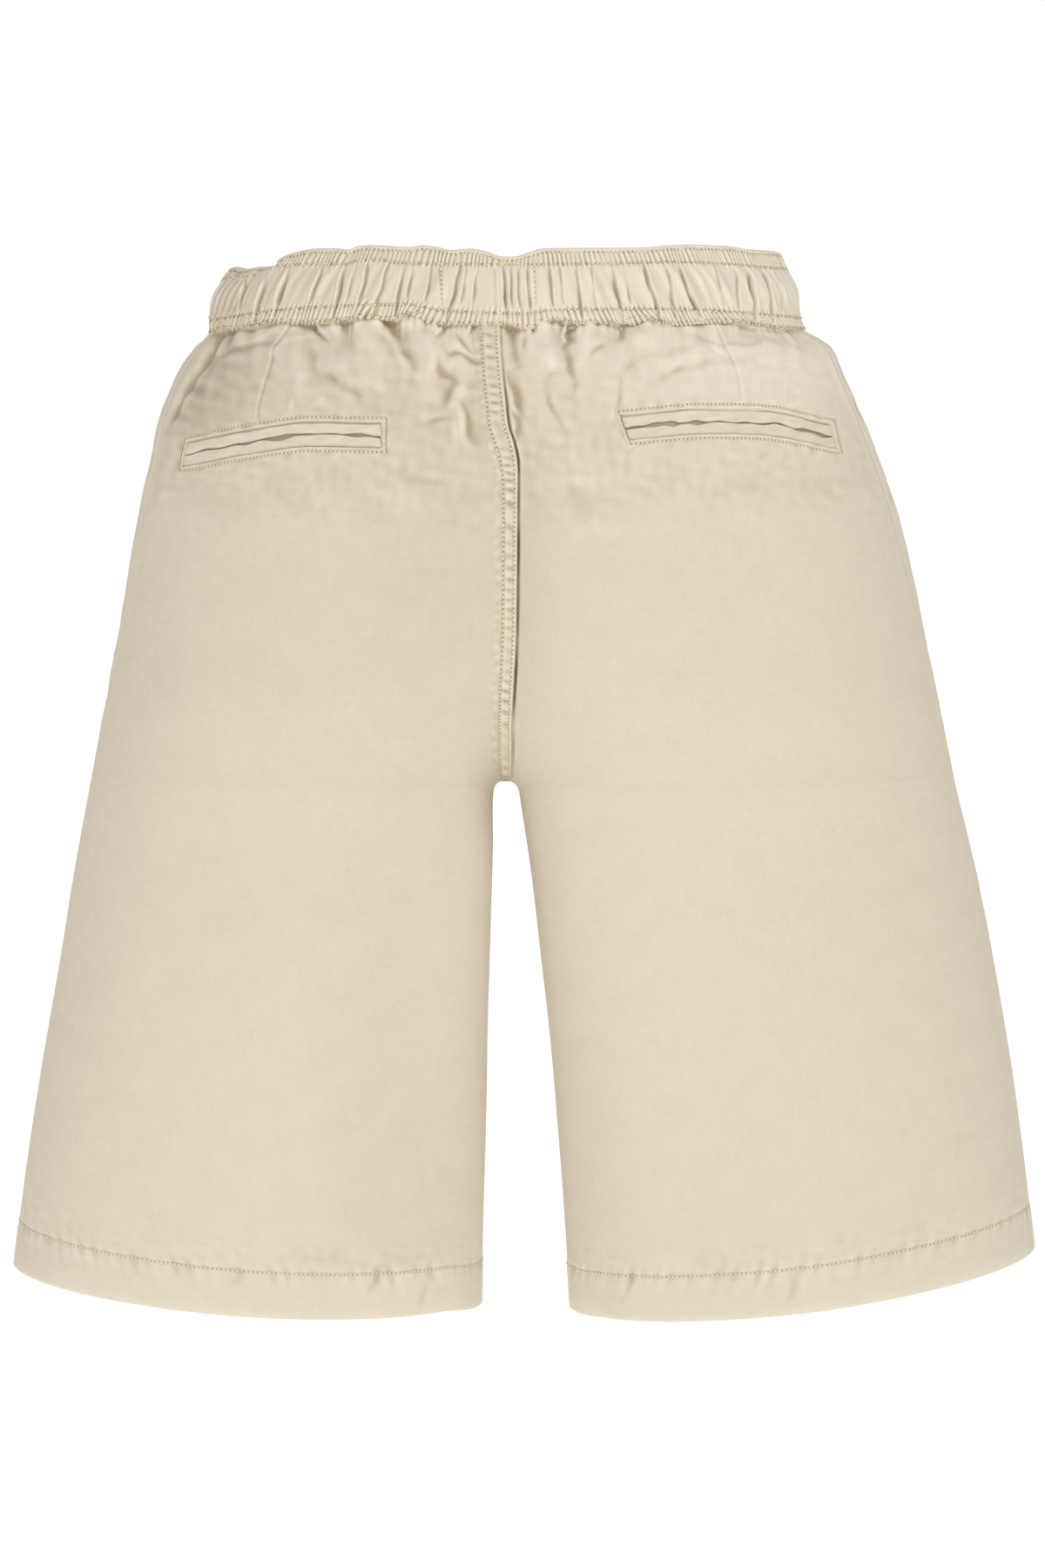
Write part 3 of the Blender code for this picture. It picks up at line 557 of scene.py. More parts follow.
def crease_height(creases, x, drop, waver=0.6):
    """How far the creases move the cloth out. Their lines waver a little, as cloth does."""
    uneven = np.clip(1 + 0.22 * cloud(x, drop, 10, 33), 0.4, 1.5)
    x = x + waver * (cloud(x, drop, 8, 31) + 0.8 * cloud(x, drop, 20, 34))
    drop = drop + waver * cloud(x, drop, 8, 32)
    total = np.zeros(x.shape)
    for peak, half_width, height, lip, *points in creases:
        spots, reach = np.reshape(points, (-1, 2)), 4 * half_width
        low, high = spots.min(axis=0) - reach, spots.max(axis=0) + reach
        near = (x > low[0]) & (x < high[0]) & (drop > low[1]) & (drop < high[1])
        if not near.any():
            continue
        distance, along = near_line(curved(points), x[near], drop[near])
        fade = np.sin(math.pi * np.clip(along, 0.02, 0.98)) ** 0.7 if peak else 1 - ease((along - 0.2) / 0.8)
        width = np.where(distance * lip > 0, 0.5, 1.0 + 0.35 * abs(lip)) * half_width
        height *= 1 if half_width < WIDE_CREASE else WIDE_SHARE
        valley = height * np.exp(-(np.abs(distance / width) ** 1.6))
        edge = bell(distance * lip - 1.05 * half_width, 0.5 * half_width)
        total[near] += fade * (valley + abs(height) * (LIP_SHARE * abs(lip) * edge))
    return CREASE_SHARE * uneven * total


PUCKER_PITCH = 5.2


def gathered_height(across, drop, seed):
    """Short uneven puckers just under the waistband, sharp between their rounded ridges."""
    sway = across + 1.4 * cloud(across, drop * 0.3, 16, seed)
    narrow = np.abs(np.sin(math.pi * sway / PUCKER_PITCH + 1.2 * cloud(across, 0 * drop, 12, seed + 1)))
    wide = cloud(sway, drop * 0.12, 9, seed + 2)
    below = np.clip(drop - BAND_BOTTOM, 0, None)
    close = np.exp(-below / 3.2) * np.clip(0.6 + 0.5 * cloud(across, 0 * drop, 30, seed + 3), 0, 1.4)
    return 1.1 * (narrow - 0.6) * close + 0.5 * wide * np.exp(-below / 13.0)


def draped_height(x, drop, seed):
    """The slight unevenness of the whole panel, and the small wrinkles that washing leaves."""
    hang = 0.45 * cloud(x, drop * 0.35, 46, seed) * ease((drop - 60) / 80)
    soft = 0.12 * cloud(x, drop * 1.2, 17, seed + 1)
    thread = np.abs(cloud(x * 0.7, drop, 13, seed + 2))
    patch = np.clip(cloud(x, drop, 40, seed + 3), 0, 1.5)
    fine = -0.10 * bell(thread, 0.36) * patch
    crumple = 0.065 * cloud(x, drop, 4.5, seed + 4, 24)
    return hang + soft + fine + crumple


def hem_pucker(around, drop, seed):
    """Small upright puckers along the hem's stitching, and the groove that the stitching pulls."""
    below = drop - HEM_LINE
    spread = bell(below, np.where(below > 0, 7.0, 4.5))
    lean = around + 0.25 * below
    puckers = 0.12 * cloud(lean, 0 * drop, 4.2, seed) + 0.10 * cloud(lean, 0 * drop, 11, seed + 1)
    return spread * puckers - 0.30 * bell(below, 0.8)


def edge_height(from_edge):
    """The groove along a pressed seam, with the allowance showing faintly beside it."""
    groove = -0.75 * bell(from_edge, 1.0)
    return groove + 0.22 * bell(from_edge - 4.5, 3.2)


def mouth_ends(side, below):
    """The x of the left and right ends of a pocket's opening at a distance below its mouth."""
    mouth = POCKET_MOUTHS[side]
    return [spot[0] + lean * below for spot, lean in zip((mouth[0], mouth[-1]), MOUTH_LEANS[side])]


def window_offset(side, x, drop):
    """How far outside the pocket's window a place is: negative inside it."""
    below = drop - smooth(POCKET_MOUTHS[side], x)
    across = np.abs(below) - WINDOW_HALF_HEIGHT
    start, end = mouth_ends(side, np.clip(below, -12, 12))
    ends = np.maximum(start - x, x - end)
    outside = np.hypot(np.clip(across, 0, None), np.clip(ends, 0, None))
    return np.where((across < 0) & (ends < 0), np.maximum(across, ends), outside)


def pocket_height(side, x, drop):
    """The panel's edge round the pocket: raised a little, stitched down just outside, and let in inside."""
    offset = window_offset(side, x, drop)
    rim = 0.36 * bell(offset - 0.5, 0.6)
    stitched = -0.26 * bell(offset - FRAME_STITCH, 0.7)
    pulled = 0.16 * cloud(x, drop, 5, 71 + side) * bell(offset - 2.6, 2.6)
    return rim + stitched + pulled - WINDOW_DEPTH * ease(-offset / WINDOW_SOFTNESS + 0.5)


def narrowing(drop):
    """How much narrower the lap is than at its top."""
    return 1.9 * ease((drop - 78) / 30)


def ditch_height(side, drop, around):
    """The dip beside the lap's folded edge, where the right panel comes out from under it."""
    deep = 0.40 + 0.60 * ease((drop - 56) / 18) - 0.45 * ease((drop - 192) / 34)
    deep = deep * np.clip(1 + 0.35 * cloud(drop, 0 * drop, 16, 66), 0.3, 1.6)
    across = around - DITCH_AT + narrowing(drop)
    ended = ease((CROTCH + 4 - drop) / 8)
    return -DITCH_DEPTH * deep * ended * bell(across, DITCH_HALF_WIDTH) if side > 0 else 0 * (around + drop)


def back_detail(side, x, drop):
    """What only the back has, apart from the dip at the lap: its creases, dart and pocket opening."""
    height = fold_height("back", x, drop) + crease_height(BACK_CREASES, x, drop)
    height = height + crease_height(SIDE_FOLD, x, drop, SIDE_WAVER)
    distance, along = near_line(curved(DARTS[side]), x, drop)
    fade = 1 - 0.4 * along
    height -= 0.55 * bell(distance, 0.7) * fade
    height += 0.30 * bell(distance - side * 1.5, 0.8) * fade
    offset = window_offset(side, x, drop)
    height = np.where(offset < 0, 0.35, 0.35 + 0.65 * ease(np.abs(offset) / 9.0)) * height
    return height + pocket_height(side, x, drop)


# Creases of the front, which gathers into the waistband as the back does.
# peak, half width, height, lip, then the x and drop of each point
FRONT_CREASES = (
    (0, 2.4, -2.6, -1, -141, 19, -146, 32, -149, 48),
    (0, 3.2, 1.4, 0, -132, 20, -135, 36, -136, 60),
    (0, 2, -2.4, -1, -118, 19, -114, 28, -112, 38),
    (0, 3, -2.6, -1, -96, 19, -91, 34, -84, 52),
    (0, 3, 1.3, 0, -86, 20, -80, 34, -75, 46),
    (0, 1.8, -2.2, 0, -72, 19, -73, 27, -71, 35),
    (0, 2.8, -2.6, -1, -56, 19, -55, 34, -50, 50),
    (0.5, 3.4, -1.2, 0, -104, 58, -88, 64, -70, 62),
    (0, 2.2, -2.2, 0, -36, 19, -33, 30, -34, 40),
    (0, 2.4, -2.4, -1, -9, 19, -8, 32, -4, 46),
    (0, 3.4, 1.4, 0, 3, 20, 5, 34, 4, 50),
    (0, 2, -2.4, -1, 14, 19, 16, 28, 15, 36),
    (0, 2.8, -2.8, -1, 31, 19, 27, 34, 22, 52),
    (0.5, 3.4, -1.1, 0, 20, 62, 36, 58, 56, 62),
    (0, 1.8, -2, 0, 47, 19, 49, 27, 48, 33),
    (0, 2.6, -2.4, -1, 69, 19, 72, 32, 78, 46),
    (0, 2.8, -2.6, -1, 94, 19, 89, 34, 84, 50),
    (0, 3, 1.3, 0, 104, 20, 102, 34, 98, 48),
    (0, 2, -2.2, 0, 116, 19, 119, 28, 121, 38),
    (0, 2.6, -2.6, -1, 137, 19, 141, 34, 146, 54),
    (0.5, 4.5, -1.2, 0, 158, 32, 172, 52, 184, 96),
    (0.5, 4.5, -1.2, 0, -164, 32, -178, 52, -190, 98),
    (0.5, 5, -0.9, 0, -60, 180, -36, 204, -16, 236),
    (0.5, 5, -0.9, 0, 40, 176, 20, 202, 2, 236),
)


def cloth_height(side, face, x, drop, around, length):
    """How far the cloth stands out of the smooth form, everywhere on a panel or a hem."""
    seed = 100 if face == "back" else 300
    across = side * around
    height = draped_height(x, drop, seed) + gathered_height(across, drop, seed + 10)
    if face == "back":
        height += back_detail(side, x, drop) + ditch_height(side, drop, around)
    else:
        height += fold_height("front", x, drop) + crease_height(FRONT_CREASES, x, drop)
        height += edge_height(around) * (1 - ease((drop - CROTCH + 14) / 10))
    to_side = length - around
    legs = ease((drop - CROTCH + 45) / 45)
    height *= ease(to_side / 14) * (1 - legs * (1 - ease(around / 14)))
    foot = smooth(BAND_FOOT, x) if face == "back" else BAND_BOTTOM
    height = height * ease((drop - foot + 2.4) / 2.8) - 0.2 * (1 - ease((drop - foot + 2) / 2))
    height -= 0.8 * bell(drop - foot - 0.2, 1.1) * ease((drop - foot + 2.4) / 1.5)
    height *= 1 - 0.7 * ease((drop - HEM_LINE + 30) / 40)
    ring = around if face == "back" else -around
    height += hem_pucker(ring, drop, 500 + side) * ease(to_side / 8) * ease(around / 8)
    return height + edge_height(to_side) + edge_height(around) * ease((drop - CROTCH + 2) / 10)


def math_node(tree, kind, *values):
    """The result of a Math node whose inputs are sockets or numbers."""
    return new_node(tree, "ShaderNodeMath", enumerate(values), operation=kind).outputs[0]


def mixed(tree, share, first, second):
    """A colour between two others, each a colour or a socket."""
    return new_node(tree, "ShaderNodeMix", {0: share, 6: first, 7: second}, data_type="RGBA").outputs[2]


def yarn_noise(tree, place, scale, detail, roughness=0.5):
    """Smooth noise over the cloth's own coordinates, with a size across and a size down, in turns a metre."""
    mapping = new_node(tree, "ShaderNodeMapping", {"Scale": (*scale, 1), "Vector": place})
    inputs = {"Scale": 1.0, "Detail": detail, "Roughness": roughness, "Vector": mapping.outputs[0]}
    return new_node(tree, "ShaderNodeTexNoise", inputs).outputs["Fac"]


COTTON = {
    "Dyed Colour": (0.640, 0.566, 0.447, 1),
    # The rubbed colour pales what stands out, as wear and as painted highlight. The hollow colour is painted
    # shade in what lies low.
    "Rubbed And Highlight Colour": (0.755, 0.690, 0.565, 1),
    "Painted Shade Colour": (0.425, 0.343, 0.236, 1),
    "Yarn Turns": 1700.0,
    "Slub": 0.022,
    "Mottle": 0.034,
}
COTTON_RELIEF = 0.00007


def make_cotton_group():
    """Plain-woven, washed cotton: the weave's fine ribs, thicker yarns here and there both ways, soft mottling
    from the dye, ridges paled by wear and painted highlight, and hollows darkened by painted shade."""
    group = bpy.data.node_groups.new("washed_cotton", "ShaderNodeTree")
    for label, usual in COTTON.items():
        kind = "NodeSocketColor" if isinstance(usual, tuple) else "NodeSocketFloat"
        group.interface.new_socket(label, in_out="INPUT", socket_type=kind).default_value = usual
    for label, kind in (("Colour", "Color"), ("Roughness", "Float"), ("Height", "Float")):
        group.interface.new_socket(label, in_out="OUTPUT", socket_type="NodeSocket" + kind)
    given = new_node(group, "NodeGroupInput").outputs
    place = new_node(group, "ShaderNodeUVMap", uv_map="cloth").outputs["UV"]
    split = new_node(group, "ShaderNodeSeparateXYZ", {0: place}).outputs
    turns = math_node(group, "MULTIPLY", given["Yarn Turns"], 2 * math.pi)
    warp, weft = (math_node(group, "SINE", math_node(group, "MULTIPLY", split[axis], turns)) for axis in "XY")
    weave = math_node(group, "MULTIPLY_ADD", math_node(group, "MULTIPLY", warp, weft), 0.5, 0.5)
    slub_both = (yarn_noise(group, place, scale, 1.0) for scale in ((1500, 55), (60, 1500)))
    slub = math_node(group, "SUBTRACT", math_node(group, "ADD", *slub_both), 1.0)
    mottle = yarn_noise(group, place, (95, 70), 4.0, 0.62), yarn_noise(group, place, (420, 380), 2.0)
    mottle = math_node(group, "SUBTRACT", math_node(group, "ADD", *mottle), 1.0)
    tone = math_node(group, "MULTIPLY", slub, given["Slub"])
    tone = math_node(group, "ADD", tone, math_node(group, "MULTIPLY", mottle, given["Mottle"]))
    tone = math_node(group, "MULTIPLY_ADD", tone, 2.0, 1.0)

    rub = new_node(group, "ShaderNodeAttribute", attribute_name="wear_and_shade").outputs["Fac"]
    paler = math_node(group, "MULTIPLY_ADD", rub, 2.0, -1.0)
    deeper = math_node(group, "MULTIPLY_ADD", rub, -2.0, 1.0)
    colour = mixed(group, paler, given["Dyed Colour"], given["Rubbed And Highlight Colour"])
    colour = mixed(group, deeper, colour, given["Painted Shade Colour"])
    toned = new_node(group, "ShaderNodeVectorMath", {0: colour, "Scale": tone}, operation="SCALE")
    relief = math_node(group, "MULTIPLY_ADD", slub, 1.6, math_node(group, "MULTIPLY", weave, 0.35))
    roughness = math_node(group, "MULTIPLY_ADD", slub, -0.25, 0.88)
    results = {"Colour": toned.outputs[0], "Roughness": roughness, "Height": relief}
    new_node(group, "NodeGroupOutput", results)
    return group


washed_cotton = make_cotton_group()


def cotton(name):
    """One piece's cotton, from the shared weave."""
    looks = {"Specular IOR Level": 0.18, "Sheen Weight": 0.12, "Sheen Roughness": 0.5}
    made, tree, shader = new_material(name, looks)
    weave = new_node(tree, "ShaderNodeGroup", node_tree=washed_cotton)
    fill(tree, weave, COTTON)
    relief = {"Distance": COTTON_RELIEF, "Strength": 1.0, "Height": weave.outputs["Height"]}
    bump = new_node(tree, "ShaderNodeBump", relief)
    fed = {"Normal": bump.outputs["Normal"], "Base Color": weave.outputs["Colour"]}
    fill(tree, shader, {**fed, "Roughness": weave.outputs["Roughness"]})
    return made


def spaced(*stretches):
    """Drops, or places along, from stretches of (start, end, step), closer together where detail is fine."""
    runs = [np.arange(start, end - step / 2, step) for start, end, step in stretches]
    return np.concatenate(runs + [[stretches[-1][1]]])


def soft_blur(heights, reach):
    """Heights evened out over a few grid points each way, twice down the grid and twice across it."""
    width = 2 * reach + 1
    for _ in range(4):
        padded = np.pad(heights, ((reach, reach), (0, 0)), mode="edge")
        total = np.cumsum(np.insert(padded, 0, 0, axis=0), axis=0)
        heights = ((total[width:] - total[:-width]) / width).T
    return heights


def grid_faces(numbers):
    """Quads over a grid of numbered points."""
    corners = [numbers[:-1, :-1], numbers[:-1, 1:], numbers[1:, 1:], numbers[1:, :-1]]
    return np.stack(corners, axis=-1).reshape(-1, 4)


def grid_border(numbers):
    """The numbers once round the edge of a grid."""
    return np.concatenate([numbers[0], numbers[1:, -1], numbers[-1, -2::-1], numbers[-2:0:-1, 0]])


def cloth_mesh(name, points, faces, uv, wear_and_shade, out):
    """A smooth mesh in metres, with its cloth coordinates and each point's tone: above 0.5 paled by wear and
    painted highlight, below 0.5 darkened by painted shade.
    Its faces are turned over if the first of them looks against the direction given as out."""
    points = np.asarray(points, float).reshape(-1, 3)
    quads = [tuple(int(i) for i in face) for face in faces]
    a, b, c = (points[i] for i in quads[0][:3])
    if np.dot(np.cross(b - a, c - a), out) < 0:
        quads = [face[::-1] for face in quads]
    mesh = bpy.data.meshes.new(name)
    mesh.from_pydata((points * MILLIMETRE).tolist(), [], quads)
    mesh.polygons.foreach_set("use_smooth", np.ones(len(quads), bool))
    rubbed = mesh.attributes.new("wear_and_shade", "FLOAT", "POINT")
    rubbed.data.foreach_set("value", np.asarray(wear_and_shade, np.float32).ravel())
    layer = mesh.uv_layers.new(name="cloth")
    corners = np.empty(len(mesh.loops), np.int32)
    mesh.loops.foreach_get("vertex_index", corners)
    flat = np.asarray(uv, np.float32).reshape(-1, 2) * MILLIMETRE
    layer.data.foreach_set("uv", flat[corners].ravel())
    mesh.update()
    return shown(name, mesh)


def shell(name, outer, inner, uv, wear_and_shade):
    """A closed sheet: a fine outer grid, an inner grid of every other point, and the edges between them."""
    inner = inner[::2, ::2]
    seen = np.arange(outer[..., 0].size).reshape(outer.shape[:2])
    unseen = seen.size + np.arange(inner[..., 0].size).reshape(inner.shape[:2])
    faces = [*grid_faces(seen), *grid_faces(unseen)[:, ::-1]]
    rim, hidden = grid_border(seen), grid_border(unseen)
    for index, near in enumerate(hidden):
        after = hidden[(index + 1) % len(hidden)]
        a, b, c = (rim[(2 * index + step) % len(rim)] for step in range(3))
        faces += [(b, a, near), (b, near, after), (c, b, after)]
    points = np.concatenate([outer.reshape(-1, 3), inner.reshape(-1, 3)])
    coordinates = np.concatenate([uv.reshape(-1, 2), uv[::2, ::2].reshape(-1, 2)])
    rubbed = np.concatenate([wear_and_shade.ravel(), np.full(unseen.size, 0.5)])
    edge_a, edge_b = outer[0, 1] - outer[0, 0], outer[1, 1] - outer[0, 0]
    facing = np.cross(edge_a, edge_b)
    outward = outer[0, 0] - inner[0, 0]
    return cloth_mesh(name, points, faces, coordinates, rubbed, facing * np.sign(np.dot(facing, outward)))


BACK_ROWS = spaced(
    (PANEL_TOP, 62, 0.85), (62, 98, 0.56), (98, 246, 2.8), (246, 270, 0.9), (270, 492, 4.2),
    (492, HEM_LINE + 1, 1.2),
)
FRONT_ROWS = spaced(
    (PANEL_TOP, 64, 1.1), (64, 246, 3.0), (246, 270, 0.9), (270, 492, 4.2), (492, HEM_LINE + 1, 1.2)
)
# columns beside the seam, all columns
PANEL_COLUMNS = {"back": (30, 261), "front": (16, 209)}
SEAM_SHARE = 0.045


def odd(drops):
    """An odd number of rows, so that the inner grid of every other row ends at the last."""
    if len(drops) % 2:
        return drops
    return np.insert(drops, 1, (drops[0] + drops[1]) / 2)


def panel_grid(side, face):
    """The drops and the parts of the way round of a panel's grid, its columns closest together beside the
    seam. On the back its rows follow the pocket's mouth and its columns lean with the mouth's ends."""
    close, whole = PANEL_COLUMNS[face]
    part = spaced((0, SEAM_SHARE, SEAM_SHARE / close), (SEAM_SHARE, 1, (1 - SEAM_SHARE) / (whole - close - 1)))
    rows = odd(BACK_ROWS if face == "back" else FRONT_ROWS)
    drops = np.repeat(rows[:, None], len(part), axis=1)
    if face == "front":
        return drops, part[None, :]
    mouth = POCKET_MOUTHS[side]
    middle = np.mean([drop for _, drop in mouth])
    x = read_form(forms[side, face], np.full(len(part), middle), part)[0][:, 0]
    beyond = np.maximum(mouth[0][0] - x, x - mouth[-1][0])
    rise = (smooth(mouth, x) - middle) * (1 - ease((beyond - 6) / 26))
    fade = 1 - ease((np.abs(rows - middle) - 11) / 24)
    drops = drops + fade[:, None] * rise[None, :]
    slope = side * np.maximum(side * np.gradient(x, part), 40)
    below = drops - smooth(mouth, x)
    below = np.clip(below, -9, 9) * (1 - ease((np.abs(below) - 9) / 24))
    moved = 0
    for end, lean in zip((mouth[0][0], mouth[-1][0]), MOUTH_LEANS[side]):
        moved = moved + lean * bell(x - end, 12) * below
    return drops, part + moved / slope


def wear_and_shade_from(height, share=1.0):
    """How far cloth is paled or darkened: more than 0.5 on what stands out, paled by wear and painted
    highlight, and less in what lies low, darkened by painted shade.
    """
    stands = 0.25 * (height - soft_blur(height, 6)) + 0.55 * (height - soft_blur(height, 2))
    return np.clip(0.5 + share * stands, 0, 1)


def panel_wear_and_shade(side, face, height, x, drops, around):
    """The same for a panel, where the smooth legs are paled and shaded only along their stitching. What shows
    through a pocket's mouth is painted in full shade."""
    share = 1 - 0.9 * ease((drops - 80) / 60) * (1 - ease((drops - 496) / 8))
    if face == "front":
        return wear_and_shade_from(height, share)
    inside = ease(0.5 - window_offset(side, x, drops) / WINDOW_SOFTNESS)
    wear_and_shade = wear_and_shade_from(height + WINDOW_DEPTH * inside, share) * (1 - inside)
    # Painted shade darkens the dip beside the lap.
    wear_and_shade = wear_and_shade + 0.45 * ditch_height(side, drops, around) / DITCH_DEPTH
    # Painted shade darkens the middle of the seat, most of all beside the lap, with the left hip and the inner
    # left leg. Painted light pales the right hip the most.
    below_seat = ease((drops - 190) / 90)
    seat = ease((drops - 30) / 40) * (1 - below_seat)
    beside = bell(around - 4, 17)
    if side > 0:
        wear_and_shade = wear_and_shade - seat * (0.055 * bell(around, 95) + 0.12 * beside)
        wear_and_shade = wear_and_shade + 0.34 * bell(x - 128, 72) * bell(drops - 40, 31)
    else:
        wear_and_shade = wear_and_shade - seat * (0.10 * bell(around - 25, 70) + 0.02 * beside)
        wear_and_shade = wear_and_shade - 0.065 * below_seat * bell(around - 78, 42)
        wear_and_shade = wear_and_shade - 0.27 * bell(x + 165, 31) * bell(drops - 52, 33)
    # Painted light pales the inner edge of each leg, the left one more.
    wear_and_shade = wear_and_shade + (0.03 if side > 0 else 0.13) * below_seat * bell(around, 24)
    return np.clip(wear_and_shade, 0, 1)


def on_panel(side, face, drop, part):
    """Places, normals, cloth heights and lengths round at drops and parts of the way round."""
    places, normals, around, length = read_form(forms[side, face], drop, part)
    return places, normals, cloth_height(side, face, places[..., 0], drop, around, length), around


def stands_for(piece, node, material):
    """Dresses a finished piece and shows it in place of its node."""
    piece.data.materials.append(material)
    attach(piece, "root")
    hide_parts(node)


# Each panel is cut 300 mm wide at the hem and 530 mm long, with its corners cut away at the waist and rise.
shell_cotton = cotton("washed_shell_cotton")
panels = {}
for side in SIDES:
    for face in ("back", "front"):
        drops, parts = panel_grid(side, face)
        places, normals, height, around = on_panel(side, face, drops, parts)
        outer = places + normals * height[..., None]
        uv = np.stack([side * around, -drops], axis=-1)
        wear_and_shade = panel_wear_and_shade(side, face, height, places[..., 0], drops, around)
        whole = f"{face}_{SIDES[side]}"
        panels[side, face] = shell(f"{whole}_cloth", outer, outer - normals * CLOTH, uv, wear_and_shade)
        stands_for(panels[side, face], f"{whole}_panel", shell_cotton)


# ---------------------------------------------------------------------------------------------------------
# The centre back seam. Its allowances are folded over to the left and sewn down flat with two rows of
# stitches, so a soft band with a sharp right edge runs from the waistband to the crotch, puckered by the
# thread between the rows.

LAP_EDGE = 5.8
LAP_ROWS = (-3.2, 4.1)
LAP_LEFT = -8.5
LAP_END = 257.5
LAP_PITCH = 5.6


def both_backs(drop, across):
    """Places, normals and cloth heights on the backs at lengths across the centre seam, right positive."""
    drop, across = np.broadcast_arrays(np.asarray(drop, float), np.asarray(across, float))
    found = {}
    for side in SIDES:
        form = forms[side, "back"]
        length = np.interp(drop, form["drops"], form["lengths"])
        part = np.clip(side * across, 0, None) / length
        places, normals, height, around = on_panel(side, "back", drop, part)
        found[side] = (places, normals, height - ditch_height(side, drop, around))
    right = across >= 0
    pick = [np.where(right[..., None], found[1][i], found[-1][i]) for i in (0, 1)]
    return pick[0], pick[1], np.where(right, found[1][2], found[-1][2])


def lap_lines(drop):
    """The lap's two rows of stitches and its right edge, across the seam."""
    narrower = narrowing(drop)
    return LAP_ROWS[0] + 0.35 * narrower, LAP_ROWS[1] - 0.62 * narrower, LAP_EDGE - narrower


def lap_height(drop, across):
    """How far the lap stands out of the backs at a length across the seam."""
    left_row, right_row, edge = lap_lines(drop)
    body = 0.25 * ease((across - LAP_LEFT) / 3.2) + 0.75 * ease((across - left_row + 0.6) / 2.2)
    wave = 2 * math.pi * drop / LAP_PITCH + 2.2 * cloud(drop, 0 * drop, 22, 61)
    between = bell(across - (left_row + right_row) / 2, 2.5)
    outside = bell(across + 5.6, 2.0)
    strength = np.clip(1 + 0.5 * cloud(drop, 0 * drop, 18, 63), 0.2, 1.8)
    puffs = 0.78 * strength * between * (np.abs(np.sin(0.5 * wave - 0.12 * across)) - 0.6)
    puffs = puffs + 0.10 * outside * np.cos(wave + 1.2)
    uneven = 0.10 * cloud(across * 1.6, drop, 5, 62) * ease((across - LAP_LEFT) / 3)
    for row, depth in ((left_row, 0.30), (right_row, 0.34)):
        body = body - depth * bell(across - row, 0.62)
    rim = 0.62 * bell(across - edge + 0.5, 0.6) * (1 + 0.3 * np.cos(wave * 0.5))
    return body + puffs + uneven + rim


def make_lap():
    drops = odd(spaced((PANEL_TOP, LAP_END, 0.85)))
    flat = spaced((LAP_LEFT, -1, 0.5), (-1, LAP_EDGE, 0.4))
    turned = 6 + len(flat) % 2
    across = np.concatenate([flat, np.full(turned, LAP_EDGE)])[None, :]
    edge = lap_lines(drops)[2][:, None]
    across = np.where(across > -1, (across + 1) * (edge + 1) / (LAP_EDGE + 1) - 1, across)
    fall = np.concatenate([np.zeros(len(flat)), np.linspace(0, 1, turned + 1)[1:]])
    angle = fall * math.pi / 2
    places, normals, height = both_backs(drops[:, None], across + 0.45 * np.sin(angle)[None, :])
    rise = lap_height(drops[:, None], across)
    ended = ease((LAP_END + 1 - drops) / 8)[:, None]
    top = rise * ended
    top = top * np.cos(angle)[None, :] ** 0.8 - 1.6 * np.sin(angle)[None, :]
    top[:, 0] = -0.15
    outer = places + normals * (height + top)[..., None]
    inner = places + normals * (height - 1.8)[..., None]
    uv = np.stack(np.broadcast_arrays(across, -drops[:, None]), axis=-1)
    # Painted shade darkens the whole lap a little.
    return shell("centre_back_lap_cloth", outer, inner, uv, np.clip(wear_and_shade_from(top + 0.4 * height) - 0.12, 0, 1))


lap = make_lap()
stands_for(lap, "centre_back_lap", shell_cotton)


# ---------------------------------------------------------------------------------------------------------
# The pockets' welts: two narrow folded strips for each mouth, set into an opening in the panel. Their
# folded edges meet along the mouth and part a little where a hand has pulled them.

WELT_REACH = 6.5
WELT_LEVEL = -1.0
WELT_THICKNESS = 0.75
WELT_FOLD = 0.55
WELT_COLUMNS = 171
WELT_ROWS = 15
# how far a welt's ends go under the panel's edge
WELT_UNDER = 0.1
# x: half the gap between the welts
MOUTH_GAPS = {
    -1: {-175.5: 0.2, -150: 0.3, -133: 0.5, -123: 1.1, -112: 0.3, -98: 0.25, -87: 0.8, -75: 0.7},
    1: {51.5: 0.3, 60: 0.5, 72: 1, 88: 0.6, 100: 0.25, 130: 0.25, 146: 0.6, 154: 1, 162: 0.4},
}


